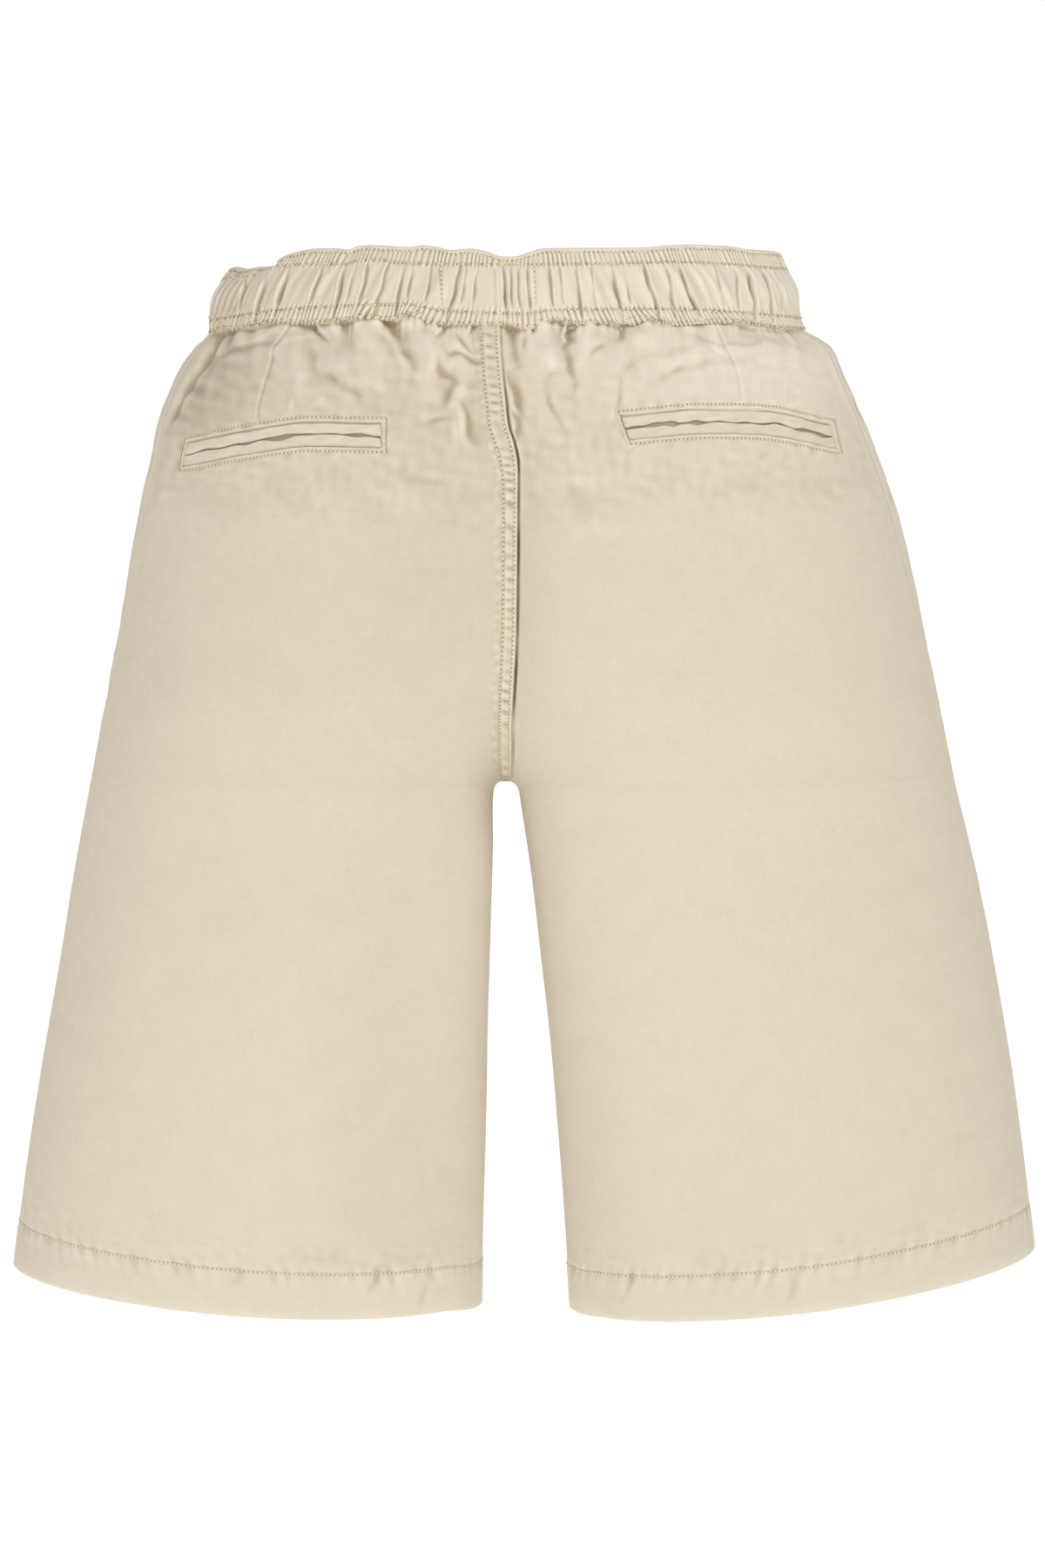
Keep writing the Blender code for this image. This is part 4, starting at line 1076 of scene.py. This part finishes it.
def make_welt(side, place):
    mouth = POCKET_MOUTHS[side]
    form = forms[side, "back"]
    along = np.linspace(mouth[0][0] - WELT_UNDER, mouth[-1][0] + WELT_UNDER, WELT_COLUMNS)
    uneven = np.clip(1 + 0.35 * cloud(along, 0 * along, 6, 85 + side), 0.3, 2)
    gap = smooth(MOUTH_GAPS[side], along) * uneven
    fold = np.linspace(math.pi, 0.5 * math.pi, 5)
    edge = WELT_FOLD * (1 + np.cos(fold))
    out = np.concatenate([edge, np.linspace(WELT_FOLD, WELT_REACH, WELT_ROWS)[1:]])
    down = np.concatenate([0.95 * (1 - np.sin(fold)), np.zeros(WELT_ROWS - 1)])
    sign = -1 if place == "upper" else 1
    below = sign * (gap[None, :] + out[:, None] * (WELT_REACH - gap[None, :]) / WELT_REACH)
    below = below + 0.30 * cloud(along, 0 * along, 9, 87 + side)[None, :] * (1 - out[:, None] / WELT_REACH)
    start, end = mouth_ends(side, below)
    share = np.linspace(0, 1, WELT_COLUMNS)[None, :]
    whole_x = start - WELT_UNDER + (end - start + 2 * WELT_UNDER) * share
    drop = smooth(mouth, whole_x) + below
    parts = part_at(side, whole_x, drop)
    places, normals, around, length = read_form(form, drop, parts)
    bulge = 0.34 * np.sin(math.pi * np.clip(out / WELT_REACH, 0, 1)) ** 0.7
    bulge -= (1.1 if place == "upper" else 0.6) * bell(out - WELT_REACH, 0.9)
    ripple = 0.13 * cloud(whole_x, drop * 2, 7, 81 + side) + 0.10 * cloud(whole_x, 0 * drop, 16, 83 + side)
    height = WELT_LEVEL + (bulge - down)[:, None] + ripple * ease(out / 1.5)[:, None]
    calm = cloth_under_pocket(side, whole_x, drop, around, length)
    outer = places + normals * (calm + height)[..., None]
    inner = places + normals * (calm + np.minimum(height, WELT_LEVEL) - WELT_THICKNESS)[..., None]
    name = f"pocket_welt_{place}_{SIDES[side]}_cloth"
    uv = np.stack([whole_x, -drop], axis=-1)
    return shell(name, outer, inner, uv, wear_and_shade_from(height))


def part_at(side, x, drop):
    """The part of the way round a back panel at which it passes an x."""
    form = forms[side, "back"]
    share = np.linspace(0, 1, FORM_COLUMNS)
    rows = np.clip((drop - form["drops"][0]) / FORM_STEP, 0, len(form["drops"]) - 1.001).astype(int)
    found = np.zeros(x.shape)
    for row in np.unique(rows):
        here = rows == row
        reach = side * form["places"][row, :, 0]
        widest = int(np.argmax(reach))
        found[here] = np.interp(side * x[here], reach[: widest + 1], share[: widest + 1])
    return found


def cloth_under_pocket(side, x, drop, around, length):
    """The height of the panel round the pocket, as if its opening weren't there."""
    return cloth_height(side, "back", x, drop, around, length) - pocket_height(side, x, drop)


# A back panel's area is that of its whole cut, so its sheet takes in the welts that fill its opening.
welt_cotton = cotton("washed_welt_cotton")
for side in SIDES:
    both = []
    for place in ("upper", "lower"):
        both.append(make_welt(side, place))
        stands_for(both[-1], f"pocket_welt_{place}_{SIDES[side]}", welt_cotton)


# ---------------------------------------------------------------------------------------------------------
# The hems: the bottom 25 mm of each leg, turned up inside and stitched down, so the edge is a soft fold of
# two layers with small puckers along the thread.

HEM_THICKNESS = 1.9
HEM_STANDS = 0.35
HEM_STEPS = {"back": 171, "front": 141}
HEM_TUCK = 0.7


def leg_ring(side, drop, steps):
    """Places, normals, heights and cloth coordinates once round a leg at each drop, from the inseam round
    the back."""
    found = []
    for face in ("back", "front"):
        part = np.linspace(0, 1, steps[face])[:-1]
        part = part if face == "back" else 1 - part
        places, normals, height, around = on_panel(side, face, drop[:, None] + 0 * part, part[None, :])
        found.append((places, normals, height, around if face == "back" else -around))
    return [np.concatenate([back, front], axis=1) for back, front in zip(*found)]


def ring_mesh(name, rings, uv, wear_and_shade):
    """A closed tube-like sheet: rings of points, each joined to the next and the last to the first."""
    rows, columns = rings.shape[:2]
    row, column = np.arange(rows)[:, None], np.arange(columns)[None, :]
    next_row, next_column = (row + 1) % rows, (column + 1) % columns
    corners = [row * columns + column, row * columns + next_column]
    corners += [next_row * columns + next_column, next_row * columns + column]
    faces = np.stack([corner + 0 * column + 0 * row for corner in corners], axis=-1).reshape(-1, 4)
    middle = rings[0].mean(axis=0)
    return cloth_mesh(name, rings, faces, uv, wear_and_shade, rings[0, 0] - middle)


def make_hem(side):
    upper = spaced((HEM_LINE - HEM_TUCK, HEM_LINE + 6, 0.6), (HEM_LINE + 6, HEM_BOTTOM - 1, 1.5))
    half = HEM_THICKNESS / 2
    turn = np.linspace(0, math.pi, 7)[1:-1]
    inner = np.linspace(HEM_BOTTOM - 1, HEM_LINE + 0.4, 8)
    drops = np.concatenate([upper, HEM_BOTTOM - 1 + np.sin(turn), inner])
    rise = np.concatenate([0 * upper, half * (np.cos(turn) - 1), 0 * inner - HEM_THICKNESS])
    stands = HEM_STANDS * ease((drops - HEM_LINE - 0.5) / 5) + 0.03
    places, normals, height, around = leg_ring(side, drops, HEM_STEPS)
    height = height + (rise + stands)[:, None]
    uv = np.stack([side * around, -drops[:, None] + 0 * around], axis=-1)
    name = f"hem_{SIDES[side]}_cloth"
    return ring_mesh(name, places + normals * height[..., None], uv, wear_and_shade_from(height))


hem_cotton = cotton("washed_hem_cotton")
for side in SIDES:
    hem = make_hem(side)
    stands_for(hem, f"hem_{SIDES[side]}", hem_cotton)


# ---------------------------------------------------------------------------------------------------------
# The waistband: a strip of the same cotton folded over wide elastic and sewn through in four rows. Between
# the rows it stands in soft leaning gathers with sharp creases, and beside the stitching it puckers finely.

BAND_STANDS = 1.5
BAND_THICKNESS = 2.9
BAND_STITCHES = (-16.0, -10.0, 14.0, 19.4)
# x of the upright seams through the band, of which the outer two are stitched, and how far right they lean
# for each millimetre down
BAND_JOINS = (-41.1, -14.1, 6.2)
JOIN_SLANT = 0.05
FRONT_GATHERS = 80
SHIRR_PITCH = 2.9
FOOT_SEED = 907
BAND_STEPS = {"back": 441, "front": 291}
WAIST_LENGTH = 860.0
RING_WAVES = 18

# The drops of the band's top edge and stitched rows where they wave behind. In front they are level. The
# waves die out round the sides, between these values of y.
WAVES_FULL, WAVES_NONE = 30.0, 112.0
# x: drop
BAND_TOP_EDGE = {
    -160.1: -10.5, -151.9: -11.2, -142.9: -9.5, -137: -10.1, -126.9: -10.1, -125.1: -13.9, -116.6: -16.8,
    -106.4: -18.3, -95.8: -18.2, -89: -17.4, -83.6: -19.1, -77.7: -19.4, -57.6: -18.2, -50.9: -19, -44.2: -18.3,
    -35.4: -16.5, -26.5: -17.2, -17.7: -15.6, -10.6: -13.2, -4.4: -13.2, 2.2: -15, 11.1: -17.4, 44.4: -18,
    62.3: -18.5, 75.9: -19.9, 89.6: -20.5, 108.3: -20.3, 117.9: -19.2, 136.8: -19.5,
}
SECOND_ROW = {
    -154.7: -5.3, -136.9: -5.8, -130.2: -8.2, -124: -9.8, -107.2: -10.4, -88.9: -9.9, -82.2: -11.7,
    -70.9: -11.7, -64.2: -10.5, -44.2: -9.5, -10.6: -9.2, 22.1: -9.5, 44.3: -10, 62.3: -10.7, 80.4: -11.3,
    98.8: -11.1, 127.5: -10.1, 136.1: -10.7,
}
THIRD_ROW = {
    -165.8: 17.2, -144.8: 15.5, -129.8: 13.9, -116.2: 12.6, -97.9: 11.7, -78: 11, -57.5: 10.8, -48.6: 12.1,
    -39.7: 13.9, -22: 15.1, 0: 15.7, 8.8: 14.4, 28.7: 13.4, 80.2: 12.9, 103.2: 13.8, 131.8: 15.2,
}

# Creases between the second row and the third, as on the panels. Those left of BAND_MIDDLE fold over from the
# left, the others from the right.
# half width, height, then the x and drop of each point
BAND_MIDDLE = 12
BAND_CREASES = (
    (1.3, -2.6, -118, -9.9, -120.5, -3, -123, 4, -126.5, 12.9, -128.3, 20.5),
    (1.2, -2.2, -131, -6, -132.5, 0, -135, 9, -137, 14, -138.6, 20.5),
    (1.1, -1.8, -142.5, -4, -144, 4, -146.5, 13),
    (1.1, -1.8, -101.6, -10.4, -104, -1, -109.3, 12.4),
    (1.3, -2.7, -89.3, -10.4, -91, -3, -92.6, 4, -95.1, 12, -96.7, 20.5),
    (1, -1.5, -84, -11, -86, -2, -89.5, 11),
    (1.1, -2, -78.5, -11, -80, 0, -83.5, 11),
    (1.2, -2.5, -67.4, -11, -69.4, -4, -71, 3, -74.4, 11, -76.8, 20.5),
    (1.2, -2.3, -59.3, -11, -60.8, -2, -63.7, 10.8, -65, 20.5),
    (1, -1.6, -55, -10, -56.4, -1, -58.6, 11),
    (1, -1.6, -45.8, -9, -47, 1, -50, 12),
    (1.2, -2.6, -31.2, -10, -32.6, -3, -34.4, 5, -37.5, 14.5, -38.7, 20.5),
    (1, -1.7, -28, -9.5, -29.2, 0, -31.5, 12),
    (0.9, -1.2, -22, -9, -23.5, 0, -25, 13),
    (1.1, -2.3, -10.6, -9.5, -10, 0, -8.6, 14, -8.2, 20.5),
    (1, -2, -6.6, -9.5, -6.2, 2, -5, 14.5),
    (1, -1.9, -2.6, -9.5, -2.2, 2, -0.8, 14.5),
    (1.1, -2.3, 2, -9.5, 2.6, 1, 4.4, 15, 4.8, 20.5),
    (1, -1.6, 13.5, -9, 14, 2, 15.8, 13),
    (0.9, -1.2, 18.5, -9, 19.4, 2, 21, 13),
    (1.1, -2.2, 27, -9.7, 27.4, -3, 28.4, 5, 29.8, 13.6, 30.5, 20.5),
    (0.9, -1.3, 34.5, -9, 35, 0, 36.5, 12),
    (1.2, -2.5, 45.6, -10, 46.6, -3, 47.4, 4, 50.2, 13.6, 51.4, 20.5),
    (0.9, -1.4, 52, -3, 53.5, 5, 55.5, 13),
    (1.3, -2.8, 61, -10.8, 63.5, -4, 65, 3, 68.5, 13.3, 70, 20.5),
    (1.1, -2.2, 71.4, -10.5, 73.8, -3, 75.4, 5, 77.2, 12, 78.5, 20.5),
    (1.3, -2.9, 78.4, -11, 81.6, -4, 84.2, 4, 89.8, 13.2, 92.5, 20.5),
    (0.9, -1.3, 98, -10, 100.6, 0, 103, 12),
    (1, -1.7, 106.6, -11, 109.8, -2, 111.6, 13.4),
    (1.4, -3, 113.2, -10.6, 116.4, -4, 118.6, 4, 120.6, 14.2, 121.3, 20.5),
    (1.2, -2.4, 122.6, -10, 126, -3, 128, 5, 129.6, 14.4, 130.2, 20.5),
    (1, -1.7, 129.6, -9.8, 132.4, -2, 134.6, 13.6),
    (1.3, -2.5, 138, -9.6, 141.2, -2, 142.6, 6, 142.8, 15, 142.9, 20.5),
)


def ring_cloud(turn, drop, size, seed):
    """As cloud, but it meets itself once round the waist."""
    chance = np.random.default_rng(seed)
    total = np.zeros(np.broadcast(turn, drop).shape)
    for _ in range(RING_WAVES):
        angle, phase = chance.uniform(0, 2 * math.pi, 2)
        turns = WAIST_LENGTH / (size * chance.uniform(1.3, 2.6))
        down = 2 * math.pi * turns / WAIST_LENGTH * math.sin(angle)
        total += np.cos(round(turns * math.cos(angle)) * turn + down * drop + phase)
    return total / math.sqrt(RING_WAVES / 2)


def waist_ring(drop, steps):
    """Places, level normals and turns (0 to two pi) once round the waist, from the left side round the back."""
    order = (((-1, "back"), True), ((1, "back"), False), ((1, "front"), True), ((-1, "front"), False))
    found = []
    for (side, face), inward in order:
        part = np.linspace(0, 1, steps[face])[:-1]
        part = 1 - part if inward else part
        found.append(read_form(forms[side, face], drop[:, None], part[None, :])[:2])
    places, normals = (np.concatenate([piece[i] for piece in found], axis=1) for i in (0, 1))
    normals = normals * [1, 1, 0]
    normals /= np.linalg.norm(normals, axis=-1, keepdims=True)
    gaps = np.linalg.norm(np.diff(places[0], axis=0, append=places[0, :1]), axis=1)
    turn = 2 * math.pi * np.concatenate([[0], np.cumsum(gaps)[:-1]]) / gaps.sum()
    return places, normals, np.broadcast_to(turn, places.shape[:2])


def waved(drop, places):
    """The drops that the band's rows really lie at, as its edges and stitched rows wave behind."""
    x = places[0, :, 0]
    behind = ease((WAVES_NONE - places[0, :, 1]) / (WAVES_NONE - WAVES_FULL))
    top = smooth(BAND_TOP_EDGE, x)
    foot = smooth(BAND_FOOT, x)
    real = (top, top + 2.0, smooth(SECOND_ROW, x), smooth(THIRD_ROW, x), foot - 1.7, foot)
    knots = np.array([BAND_TOP, *BAND_STITCHES, BAND_BOTTOM])
    moved = np.array([(line - knot) * behind for line, knot in zip(real, knots)])
    span = np.clip(np.searchsorted(knots, drop, side="right") - 1, 0, len(knots) - 2)
    part = np.clip((drop - knots[span]) / (knots[span + 1] - knots[span]), 0, 1)[:, None]
    return drop[:, None] + moved[span] * (1 - part) + moved[span + 1] * part


def shirred(turn, lean, drop, seed):
    """Close puckers across a zone of stitching: rounded ridges from 0 to 1 with sharp grooves between."""
    count = round(WAIST_LENGTH / SHIRR_PITCH)
    slid = turn + lean * drop * 2 * math.pi / WAIST_LENGTH
    phase = count * slid / 2 + 0.9 * ring_cloud(turn, 0, 4.5 * SHIRR_PITCH, seed)
    even = np.abs(np.sin(phase)) ** 0.9
    return even * (0.72 + 0.28 * ring_cloud(turn, 0.3 * drop, 2.5 * SHIRR_PITCH, seed + 1))


def band_height(places, turn, drop, real):
    """How far the waistband's face stands out of the form. real is the waved drop."""
    x = places[..., 0]
    top_row, second, third, foot_row = BAND_STITCHES
    in_front = ease((places[..., 1] + 46) / 20)
    lean = np.where(places[..., 1] < 0, np.clip(-x / 45, -1, 1), np.clip(x / 45, -1, 1)) * 0.42
    belly = np.clip((drop - second) / (third - second), 0, 1)
    soft = np.sin(math.pi * belly) ** 0.55
    height = BAND_STANDS + 1.2 * soft
    leaning = turn + lean * drop * 2 * math.pi / WAIST_LENGTH
    lumps = 0.42 * ring_cloud(leaning, 0.1 * drop, 11, 901)
    height += soft * (lumps + 0.28 * ring_cloud(leaning, 0.1 * drop, 4.5, 902))
    creased = np.zeros(x.shape)
    for half_width, depth, *points in BAND_CREASES:
        lip = -1 if points[0] < BAND_MIDDLE else 1
        creased += crease_height(((0.5, 0.85 * half_width, 1.25 * depth, lip, *points),), x, real, 0.2)
    phase = FRONT_GATHERS / 2 * leaning + 1.3 * ring_cloud(turn, 0, 36, 904)
    phase = phase + 0.4 * ring_cloud(turn, 0.2 * drop, 26, 906)
    strength = np.clip(0.6 + 0.6 * ring_cloud(turn, 0, 22, 908), 0.1, 1.3)
    gathers = -2.0 * strength * bell(np.sin(phase), 0.24) * soft
    height += creased * (1 - in_front) + gathers * in_front
    upper = ease((drop - top_row + 0.4) / 1.0) * (1 - ease((drop - second + 0.6) / 4.2))
    lower = ease((drop - third + 4.6) / 4.6)
    height += upper * (1.5 * shirred(turn, 0.5 * lean, drop, 905) - 0.78)
    height += lower * (1.6 * shirred(turn, lean, drop - third, FOOT_SEED) - 0.83)
    pulled = 1 + 0.3 * ring_cloud(turn, 0, 2.4, 909)
    for row in BAND_STITCHES:
        height -= 0.42 * bell(drop - row, 0.6) * pulled
    between = ease((drop - second) / 2) * (1 - ease((drop - third) / 2))
    for join in BAND_JOINS:
        groove = bell(x - join - JOIN_SLANT * real, 0.7) * between
        height -= 0.55 * groove * (1 - in_front)
    scallop = 0.35 * ring_cloud(turn, 0, 3.4, 910) * bell(drop - BAND_BOTTOM, 1.5)
    scallop = scallop - 0.9 * ease((drop - foot_row + 0.2) / 1.8)
    rolled = 0.35 * bell(drop - BAND_TOP - 0.6, 0.9)
    return height + scallop + rolled


def on_band(drop, steps, raised=0.0):
    """Points, normals, turns and heights on the waistband's face at each of its own drops."""
    places, normals, turn = waist_ring(drop, steps)
    real = waved(drop, places)
    height = band_height(places, turn, np.broadcast_to(drop[:, None], turn.shape), real)
    points = places + normals * (height + raised)[..., None]
    points[..., 2] -= real - drop[:, None]
    # The gathers draw the folded foot up into small scallops.
    drawn = 0.9 * ease((drop - BAND_STITCHES[3]) / 1.4)[:, None]
    points[..., 2] += drawn * (1 - shirred(turn, 0 * turn, 0 * turn, FOOT_SEED))
    return points, normals, turn, height


def make_waistband():
    face = spaced((BAND_TOP + 0.9, BAND_TOP + 9, 0.6), (BAND_TOP + 9, 9, 1.1), (9, BAND_BOTTOM - 0.5, 0.6))
    turned = np.linspace(0, math.pi, 6)[1:-1]
    foot = BAND_BOTTOM - 0.5 + 0.9 * np.sin(turned)
    back = np.linspace(BAND_BOTTOM - 0.7, BAND_TOP + 0.9, 6)
    head = BAND_TOP + 0.9 - 1.0 * np.sin(turned)
    drops = np.concatenate([face, foot, back, head])
    points, normals, turn, height = on_band(drops, BAND_STEPS)
    plain = BAND_STANDS - BAND_THICKNESS + 0.10 * ring_cloud(turn, drops[:, None], 9, 911)
    share = np.concatenate([0 * face, (1 - np.cos(turned)) / 2, np.ones(6), (1 + np.cos(turned)) / 2])
    inward = share[:, None] * (height - plain)
    points = points - normals * inward[..., None]
    uv = np.stack([turn * WAIST_LENGTH / (2 * math.pi), np.broadcast_to(-drops[:, None], turn.shape)], axis=-1)
    # Painted light pales the right end and painted shade darkens the left end.
    x = points[..., 0]
    rubbed = 0.08 + 0.10 * np.tanh(x / 90) - 0.16 * bell(x + 165, 30)
    return ring_mesh("waistband_cloth", points, uv, np.clip(wear_and_shade_from(height) + rubbed, 0, 1))


waistband_cotton = cotton("washed_waistband_cotton")
waistband = make_waistband()
stands_for(waistband, "waistband", waistband_cotton)


# ---------------------------------------------------------------------------------------------------------
# The topstitching: pale tan cotton thread in rows of short stitches, each pulled a little into the cloth. It
# holds the waistband's four rows, the lap's two, the frame round each pocket and the hems.

STITCH_SEED = 7
# in metres, and the share by which the stitches' sizes vary
STITCH_SIZES = {
    "Stitch Length": 0.00175,
    "Thread Width": 0.00100,
    "Thread Height": 0.00065,
    "Hole Size": 0.00085,
    "Hole Shift": 0.00120,
    "Unevenness": 0.12,
}
THREAD = (0.680, 0.575, 0.395, 1)
THREAD_LIT = (0.820, 0.730, 0.550, 1)
# The needle holes' colour is painted shade.
NEEDLE_HOLE_SHADE = (0.350, 0.265, 0.160, 1)


def make_thread():
    """Spun thread: a twist of lighter and darker plies, with a dull sheen, and painted shade in the needle's
    holes.
    """
    looks = {"Roughness": 0.62, "Specular IOR Level": 0.3, "Sheen Weight": 0.1}
    made, tree, shader = new_material("topstitch_thread", looks)
    where = new_node(tree, "ShaderNodeTexCoord").outputs["Object"]
    plies = new_node(tree, "ShaderNodeTexNoise", {"Scale": 900.0, "Detail": 1.0, "Vector": where})
    hole = new_node(tree, "ShaderNodeAttribute", attribute_name="hole").outputs["Fac"]
    spun = mixed(tree, plies.outputs["Fac"], THREAD, THREAD_LIT)
    fill(tree, shader, {"Base Color": mixed(tree, hole, spun, NEEDLE_HOLE_SHADE)})
    return made


def make_stitch_tree(thread):
    """A rounded stitch at each point, along the point's "along" and facing its "out", and beyond its end
    the dimple where the thread goes in, told apart by "hole" so that it can be painted dark as shade."""
    tree = bpy.data.node_groups.new("stitch_row", "GeometryNodeTree")
    tree.interface.new_socket("Geometry", in_out="INPUT", socket_type="NodeSocketGeometry")
    for label, usual in STITCH_SIZES.items():
        tree.interface.new_socket(label, in_out="INPUT", socket_type="NodeSocketFloat").default_value = usual
    tree.interface.new_socket("Seed", in_out="INPUT", socket_type="NodeSocketInt").default_value = STITCH_SEED
    tree.interface.new_socket("Geometry", in_out="OUTPUT", socket_type="NodeSocketGeometry")
    given = new_node(tree, "NodeGroupInput").outputs

    def rounded(rings, sizes, shift, is_hole):
        ball = new_node(tree, "GeometryNodeMeshUVSphere", {"Segments": 6, "Rings": rings, "Radius": 0.5})
        size = new_node(tree, "ShaderNodeCombineXYZ", enumerate(given[label] for label in sizes))
        moved = new_node(tree, "ShaderNodeCombineXYZ", {"Z": given[shift]} if shift else {})
        inputs = {"Geometry": ball.outputs["Mesh"], "Scale": size.outputs[0], "Translation": moved.outputs[0]}
        shaped = new_node(tree, "GeometryNodeTransform", inputs)
        marks = {"Name": "hole", "Value": is_hole, "Geometry": shaped.outputs[0]}
        return new_node(tree, "GeometryNodeStoreNamedAttribute", marks).outputs[0]

    both = new_node(tree, "GeometryNodeJoinGeometry")
    stitch = rounded(4, ("Thread Width", "Thread Height", "Stitch Length"), None, 0.0)
    dimple = rounded(3, ("Hole Size", "Thread Height", "Hole Size"), "Hole Shift", 1.0)
    for part in (stitch, dimple):
        tree.links.new(part, both.inputs[0])
    along, out = (
        new_node(tree, "GeometryNodeInputNamedAttribute", {"Name": label}, data_type="FLOAT_VECTOR")
        for label in ("along", "out")
    )
    axes = {"Primary Axis": along.outputs["Attribute"], "Secondary Axis": out.outputs["Attribute"]}
    turn = new_node(tree, "FunctionNodeAxesToRotation", axes, primary_axis="Z", secondary_axis="Y")
    low, high = (math_node(tree, kind, 1.0, given["Unevenness"]) for kind in ("SUBTRACT", "ADD"))
    limits = {2: low, 3: high, "Seed": given["Seed"]}
    vary = new_node(tree, "FunctionNodeRandomValue", limits, data_type="FLOAT")
    inputs = {"Points": given["Geometry"], "Instance": both.outputs[0], "Rotation": turn.outputs[0]}
    placed_all = new_node(tree, "GeometryNodeInstanceOnPoints", {**inputs, "Scale": vary.outputs[1]})
    real = new_node(tree, "GeometryNodeRealizeInstances", {0: placed_all.outputs[0]})
    painted = new_node(tree, "GeometryNodeSetMaterial", {"Geometry": real.outputs[0], "Material": thread})
    new_node(tree, "NodeGroupOutput", {0: painted.outputs[0]})
    return tree


stitch_tree = make_stitch_tree(make_thread())


def stitched(name, rows, host_slot):
    """Stitches along rows. Each row is a run of closely spaced points, their outward normals, and the
    pitch of its stitches."""
    spots, along, out = [], [], []
    for points, normals, pitch in rows:
        steps = np.linalg.norm(np.diff(points, axis=0), axis=1)
        travelled = np.concatenate([[0], np.cumsum(steps)])
        count = max(int(travelled[-1] / pitch), 1)
        middles = (np.arange(count) + 0.5) * travelled[-1] / count
        ends = [sampled(middles + shift, travelled, points) for shift in (-0.4 * pitch, 0, 0.4 * pitch)]
        run = ends[2] - ends[0]
        spots.append(ends[1])
        along.append(run / np.linalg.norm(run, axis=1, keepdims=True))
        out.append(sampled(middles, travelled, normals))
    spots, along, out = (np.concatenate(part) for part in (spots, along, out))
    mesh = bpy.data.meshes.new(name + "_points")
    mesh.from_pydata((spots * MILLIMETRE).tolist(), [], [])
    for label, values in (("along", along), ("out", out)):
        layer = mesh.attributes.new(label, "FLOAT_VECTOR", "POINT")
        layer.data.foreach_set("vector", values.astype(np.float32).ravel())
    source = shown(name + "_points", mesh)
    modifier = source.modifiers.new("stitches", "NODES")
    modifier.node_group = stitch_tree
    for item in stitch_tree.interface.items_tree:
        if item.in_out == "INPUT" and item.socket_type != "NodeSocketGeometry":
            modifier[item.identifier] = STITCH_SIZES.get(item.name, STITCH_SEED)
    graph = bpy.context.evaluated_depsgraph_get()
    made = bpy.data.meshes.new_from_object(source.evaluated_get(graph))
    made.name = name
    made.polygons.foreach_set("use_smooth", np.ones(len(made.polygons), bool))
    bpy.data.objects.remove(source)
    piece = shown(name, made)
    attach(piece, "root")


def sampled(wanted, travelled, values):
    """A run's points or normals at distances along it."""
    return np.stack([np.interp(wanted, travelled, column) for column in values.T], axis=1)


THREAD_SUNK = 0.16
HEM_THREAD_SUNK = 0.10
STITCH_PITCH = 2.4
FRAME_PITCH = 2.3
RING_STEPS = {"back": 900, "front": 800}
JOIN_STEPS = {"back": 900, "front": 4}
LEG_STEPS = {"back": 900, "front": 900}
# the drops at which the two upright rows end
JOIN_ENDS = (15, 9)


def closed(run):
    return np.concatenate([run, run[:1]])


def upright_row(join, end):
    """A line of stitches up the back of the band at one of its joins."""
    drops = spaced((BAND_STITCHES[1] + 1.5, end - 2, 0.5))
    points, normals, _, _ = on_band(drops, JOIN_STEPS, THREAD_SUNK)
    behind = np.where(points[0, :, 1] < 0)[0]
    off = np.abs(points[:, behind, 0] - join - JOIN_SLANT * drops[:, None])
    rows, columns = np.arange(len(drops)), behind[np.argmin(off, axis=1)]
    return points[rows, columns], normals[rows, columns], STITCH_PITCH


band_rows = []
for row in BAND_STITCHES:
    points, normals, _, _ = on_band(np.array([row, row]), RING_STEPS, THREAD_SUNK)
    band_rows.append((closed(points[0]), closed(normals[0]), STITCH_PITCH))
for join, end in zip(BAND_JOINS[::2], JOIN_ENDS):
    band_rows.append(upright_row(join, end))
stitched("waistband_stitching", band_rows, "waistband_cotton")

lap_rows = []
run = spaced((BAND_BOTTOM + 0.6, LAP_END - 5, 0.25))
for row in lap_lines(run)[:2]:
    places, normals, height = both_backs(run, row)
    height = height + lap_height(run, row) + THREAD_SUNK
    lap_rows.append((places + normals * height[:, None], normals, STITCH_PITCH))
stitched("centre_back_lap_stitching", lap_rows, "shell_cotton")

for side in SIDES:
    places, normals, height, _ = leg_ring(side, np.array([HEM_LINE, HEM_LINE]), LEG_STEPS)
    ring = places[0] + normals[0] * (height[0] + HEM_THREAD_SUNK)[:, None]
    stitched(f"hem_{SIDES[side]}_stitching", [(closed(ring), closed(normals[0]), STITCH_PITCH)], "hem_cotton")

# Each end of a pocket is held by a bar of close stitches that lie across it.
TACK_PITCH = 0.95
TACK_WIDTH = 2.0
TACK_FROM_END = 1.5
for side in SIDES:
    mouth = POCKET_MOUTHS[side]
    out = WINDOW_HALF_HEIGHT + FRAME_STITCH
    lines = []
    for below in (-out, out):
        start, end = mouth_ends(side, below)
        across = np.linspace(start - FRAME_STITCH, end + FRAME_STITCH, 500)
        lines.append((across, smooth(mouth, across) + below))
    for below in np.arange(-out + TACK_PITCH, out, TACK_PITCH):
        start, end = mouth_ends(side, below)
        for middle in (start - TACK_FROM_END, end + TACK_FROM_END):
            across = middle + np.linspace(-TACK_WIDTH / 2, TACK_WIDTH / 2, 5)
            lines.append((across, smooth(mouth, across) + below))
    rows = []
    for x, drop in lines:
        places, normals, around, length = read_form(forms[side, "back"], drop, part_at(side, x, drop))
        height = cloth_height(side, "back", x, drop, around, length)
        rows.append((places + normals * (height + THREAD_SUNK)[:, None], normals, FRAME_PITCH))
    stitched(f"pocket_{SIDES[side]}_stitching", rows, "shell_cotton")
